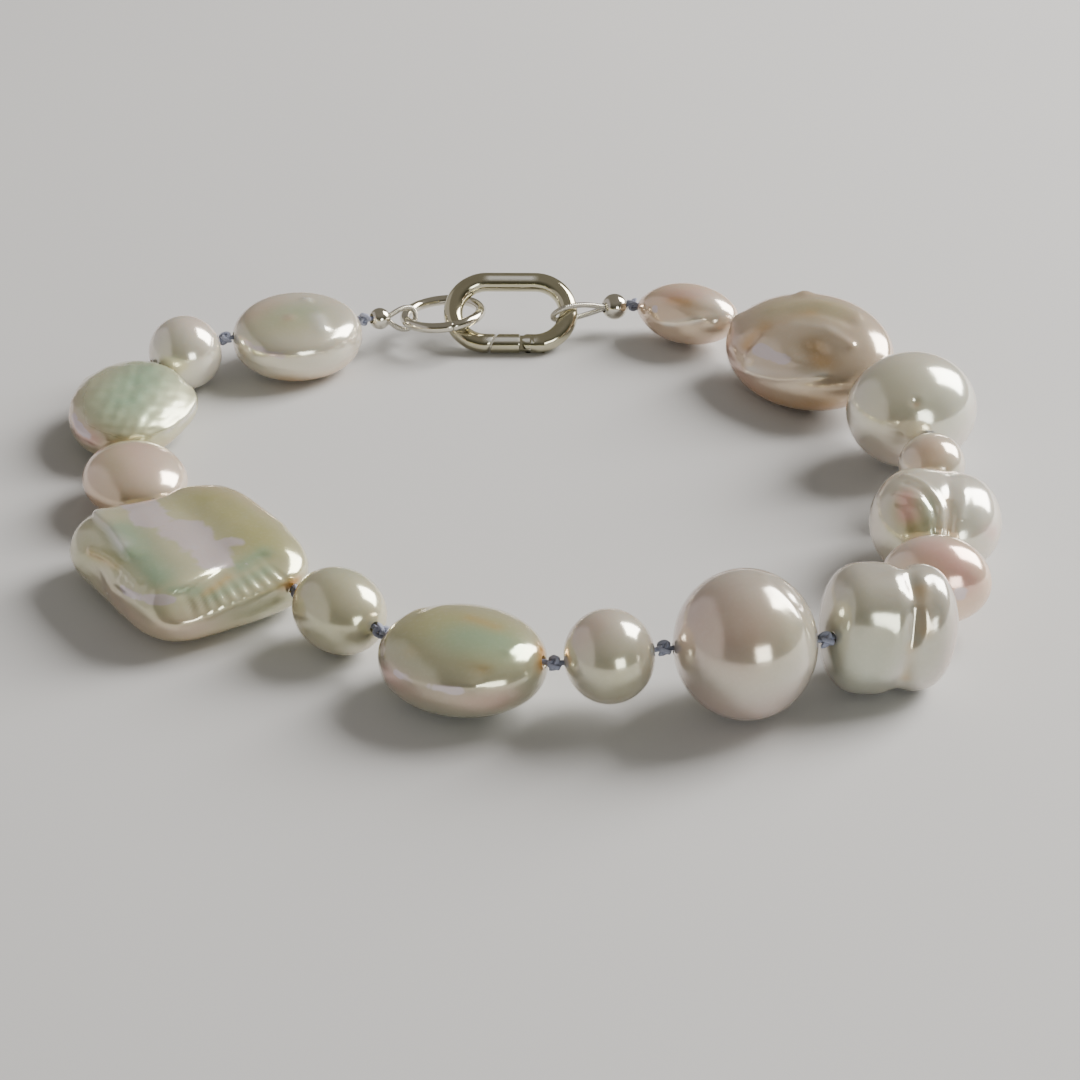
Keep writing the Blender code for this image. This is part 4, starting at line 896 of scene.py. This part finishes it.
ring = dict(middle=np.array([-6.4748, 28.8582, 2.5329]),
            axes=np.array([[-0.99002, -0.11653, -0.07919], [0.1169, -0.99314, 0.0],
                           [-0.07865, -0.00926, 0.99686]]),
            radius=3.175, wire=0.425, tilt=5.0, seam=100.0, seamGap=0.04, soft=0.05, steps=150,
            sides=24)
start = 0.5 * ring["seamGap"] / ring["radius"]
turn = np.radians(ring["seam"]) + np.linspace(start, 2.0 * math.pi - start, ring["steps"])
path = ring["radius"] * np.column_stack([np.cos(turn), np.sin(turn), np.zeros(len(turn))])
places = ring["radius"] * (turn - turn[0])
radius = endRound(places, places[-1], ring["wire"], ring["soft"])
grid = sweep(path, up, roundProfile(radius, ring["sides"]))
grid = ring["middle"] + (grid @ rollMatrix(ring["tilt"]).T) @ ring["axes"]
makePiece("jump_ring_wire", [surfacePart(grid, lengths=places)], silver, ["jump_ring"])
print("jump ring made")

findings = [
    dict(bead="bead_right", loop="wire_loop_right", start=(9.468, 31.269, 2.273),
         end=(3.986, 28.878, 2.599), before=1.700, diameter=2.2, way=1.0, first=0.75, length=4.87,
         halfHeight=1.33, roll=-40.0),
    dict(bead="bead_left", loop="wire_loop_left", start=(-9.618, 28.488, 2.281),
         end=(-12.956, 26.690, 3.128), before=2.385, diameter=1.8, way=-1.0, first=0.55, length=2.79,
         halfHeight=0.955, roll=5.0),
]
gimp = dict(radius=0.235, coil=0.17, ribDepth=0.22, stepsPerCoil=10, sides=14, opening=0.28,
            pinch=1.2, steps=1200)


# a drop outline in the loop's plane: along it runs (1 - cos a) / 2, and across it runs
# sin a times sin(a / 2) to a power, so that both strands leave the bead together
def gimpPath(item):
    a = np.linspace(gimp["opening"], 2.0 * math.pi - gimp["opening"], gimp["steps"])
    swing = np.sin(a) * np.abs(np.sin(0.5 * a)) ** gimp["pinch"]
    line = np.column_stack([item["way"] * (item["first"] + item["length"] * 0.5 * (1.0 - np.cos(a))),
                            0.0 * a, item["halfHeight"] * swing / np.abs(swing).max()])
    return line @ rollMatrix(item["roll"]).T


for item in findings:
    start, size = np.array(item["start"]), item["diameter"]
    axes = linkAxes(start, np.array(item["end"]))
    middle = start + axes[0] * item["before"]
    grid = pearlGrid(dict(along=size, across=size, high=size, fine=0.5), 900)[0]
    makePiece(item["bead"] + "_ball", [surfacePart(middle + grid @ axes, closedRows=True)], silver,
              [item["bead"]], sharp=70.0)
    path, places = resample(gimpPath(item), gimp["coil"] / gimp["stepsPerCoil"])
    coils = np.sqrt(np.abs(np.sin(math.pi * places / gimp["coil"])))
    radius = gimp["radius"] * (1.0 - gimp["ribDepth"] + gimp["ribDepth"] * coils)
    normal = np.array([0.0, 1.0, 0.0]) @ rollMatrix(item["roll"]).T
    grid = sweep(path, normal, roundProfile(radius, gimp["sides"]))
    makePiece(item["loop"] + "_gimp", [surfacePart(middle + grid @ axes, lengths=places)], gimpSilver,
              [item["loop"]], sharp=80.0)
print("end beads and coiled loops made")


silk = dict(radius=0.19, plyDepth=0.16, pitch=1.1, step=0.10, sides=12, knotLength=0.96,
            knotWidth=1.24, knotStrand=0.185, knotSteps=150, leftEnd=1.9, rightEnd=2.3, plies=3)


def silkFinish(name):
    finish = Finish(name, {"Sheen Weight": 0.35, "Sheen Roughness": 0.4, "Roughness": 0.6,
                           "Sheen Tint": (0.80, 0.82, 0.95, 1.0)})
    flat = finish.alongAround()
    fibre = ((flat.part("X") * 16.0 + flat.part("Y") * 90.0).sine() + 1.0) * 0.5
    fuzz = finish.noise(5200.0, 3.0)
    base = finish.blend(fibre * 0.5, (0.23, 0.25, 0.36), (0.42, 0.44, 0.56))
    base = finish.blend((fuzz * 2.0 - 0.9).clamp() * 0.6, base, (0.56, 0.58, 0.68))
    finish.surface(base, 0.5 + fuzz * 0.25, finish.bump(fibre * 0.6 + fuzz * 0.4, 0.5, 0.03))
    return finish.material


# radius of each point of a strand of three plies: it swells and sinks with the cosine of three
# times the angle, turned by the number of turns made up to the row
def plyRadius(radius, turns):
    angle = np.arange(silk["sides"]) * 2.0 * math.pi / silk["sides"]
    ply = np.cos(silk["plies"] * angle - 2.0 * math.pi * turns[:, None])
    return radius * (1.0 - silk["plyDepth"] + silk["plyDepth"] * ply)


rightLink = linkAxes(np.array(findings[0]["start"]), np.array(findings[0]["end"]))
leftLink = linkAxes(np.array(findings[1]["start"]), joints[0])
stringPoints = np.concatenate([[joints[0] - leftLink[0] * silk["leftEnd"]], joints,
                               [joints[-1] + rightLink[0] * silk["rightEnd"]]])
path, places = resample(stringPoints, silk["step"])
radius = plyRadius(silk["radius"], places / silk["pitch"])
silkParts = [surfacePart(sweep(path, up, roundProfile(radius, silk["sides"])), lengths=places)]


# a tight overhand knot: the trefoil (sin t + 2 sin 2t, cos t - 2 cos 2t, -sin 3t), squeezed to
# the knot's length and width, swept with a three-ply strand
def knotPart(at, way, seed):
    random = np.random.default_rng(seed)
    t = np.linspace(0.0, 2.0 * math.pi, silk["knotSteps"], endpoint=False)
    line = np.stack([np.sin(t) + 2.0 * np.sin(2.0 * t), np.cos(t) - 2.0 * np.cos(2.0 * t),
                     -np.sin(3.0 * t)], axis=-1)
    wide = 0.5 * (silk["knotWidth"] - 2.0 * silk["knotStrand"]) / 3.0
    line = line * np.array([wide, wide, 0.5 * (silk["knotLength"] - 2.0 * silk["knotStrand"])])
    core = unitVectors(line * np.array([1.0, 1.0, 0.0])) * 2.0 * wide
    length = np.linalg.norm(np.roll(line, -1, axis=0) - line, axis=1).cumsum()
    plies = silk["plies"]
    turns = round(length[-1] / (plies * silk["pitch"])) * plies or plies
    radius = plyRadius(silk["knotStrand"], turns * length / length[-1])
    reference = unitVectors(line - core + np.array([0.0, 0.0, 0.35 * wide]))
    grid = sweep(line, reference, roundProfile(radius, silk["sides"]), closed=True)
    left = unitVectors(np.cross(up, way))
    frameAxes = np.array([left, np.cross(way, left), way])
    spin = random.uniform(0.0, 2.0 * math.pi)
    twist = np.array([[math.cos(spin), math.sin(spin), 0.0], [-math.sin(spin), math.cos(spin), 0.0],
                      [0.0, 0.0, 1.0]])
    lean = np.array(Matrix.Rotation(random.uniform(-0.35, 0.35), 3, "X"))
    return surfacePart(at + (grid @ twist @ lean) @ frameAxes, closedRows=True, lengths=length)


headings = unitVectors(np.diff(stringPoints, axis=0))
for index, joint in enumerate(joints):
    way = unitVectors(headings[index] + headings[index + 1])
    silkParts.append(knotPart(joint, way, 40 + index))
makePiece("silk_thread_knotted", silkParts, silkFinish("blue_silk"), ["silk_thread"],
          sharp=80.0)
print("silk strung and knotted")


floor = dict(halfSide=1.6, tones=((0.54, 0.54, 0.555), (0.59, 0.59, 0.595)))
span = floor["halfSide"]
floorMesh = bpy.data.meshes.new("floor")
floorMesh.from_pydata([(-span, -span, 0), (span, -span, 0), (span, span, 0), (-span, span, 0)], [],
                      [(0, 1, 2, 3)])
floorFinish = Finish("pale_floor", {"Roughness": 0.75})
floorFinish.feed(floorFinish.shader.inputs["Base Color"],
                 floorFinish.blend(floorFinish.noise(14.0, 3.0), *floor["tones"]))
floorMesh.materials.append(floorFinish.material)
floorItem = bpy.data.objects.new("floor", floorMesh)
bpy.context.collection.objects.link(floorItem)

lights = [
    dict(name="window", way=(0.73, 0.40, 0.55), distance=0.62, width=0.35, height=0.44, power=9.8,
         colour=(1.0, 0.97, 0.92)),
    dict(name="low_front", way=(0.44, -0.88, 0.20), distance=0.70, width=0.26, height=0.24, power=1.5,
         colour=(0.97, 1.0, 0.98)),
]
for lamp in lights:
    data = bpy.data.lights.new(lamp["name"], "AREA")
    data.shape = "RECTANGLE"
    data.size = lamp["width"]
    data.size_y = lamp["height"]
    data.energy = lamp["power"]
    data.color = lamp["colour"]
    item = bpy.data.objects.new(lamp["name"], data)
    bpy.context.collection.objects.link(item)
    way = unitVectors(np.array(lamp["way"]))
    item.location = (way * lamp["distance"]).tolist()
    side = unitVectors(np.cross(up, way))
    item.rotation_euler = Matrix(np.array([side, np.cross(way, side), way]).T.tolist()).to_euler()

# the room that polished nacre shows: dim and warm, darkest low down in front, with a paler wall
# on the left
room = dict(dim=(0.25, 0.235, 0.205), dark=(0.075, 0.072, 0.050), wall=(0.56, 0.53, 0.52))
world = bpy.data.worlds.new("studio")
bpy.context.scene.world = world
world.use_nodes = True
studio = Nodes(world.node_tree)
view = studio.node("ShaderNodeTexCoord", {}, {}, "Generated")
height = view.part("Z")
dark = ((0.0 - view.part("Y") - 0.05) * 2.5).clamp() * ((0.80 - height) * 2.2).clamp()
wall = ((0.0 - view.part("X") - 0.58) * 9.0).clamp() * ((0.85 - height) * 5.0).clamp()
colour = studio.blend(wall, studio.blend(dark, room["dim"], room["dark"]), room["wall"])
studio.feed(world.node_tree.nodes["Background"].inputs["Color"], colour)
print("table and light set")
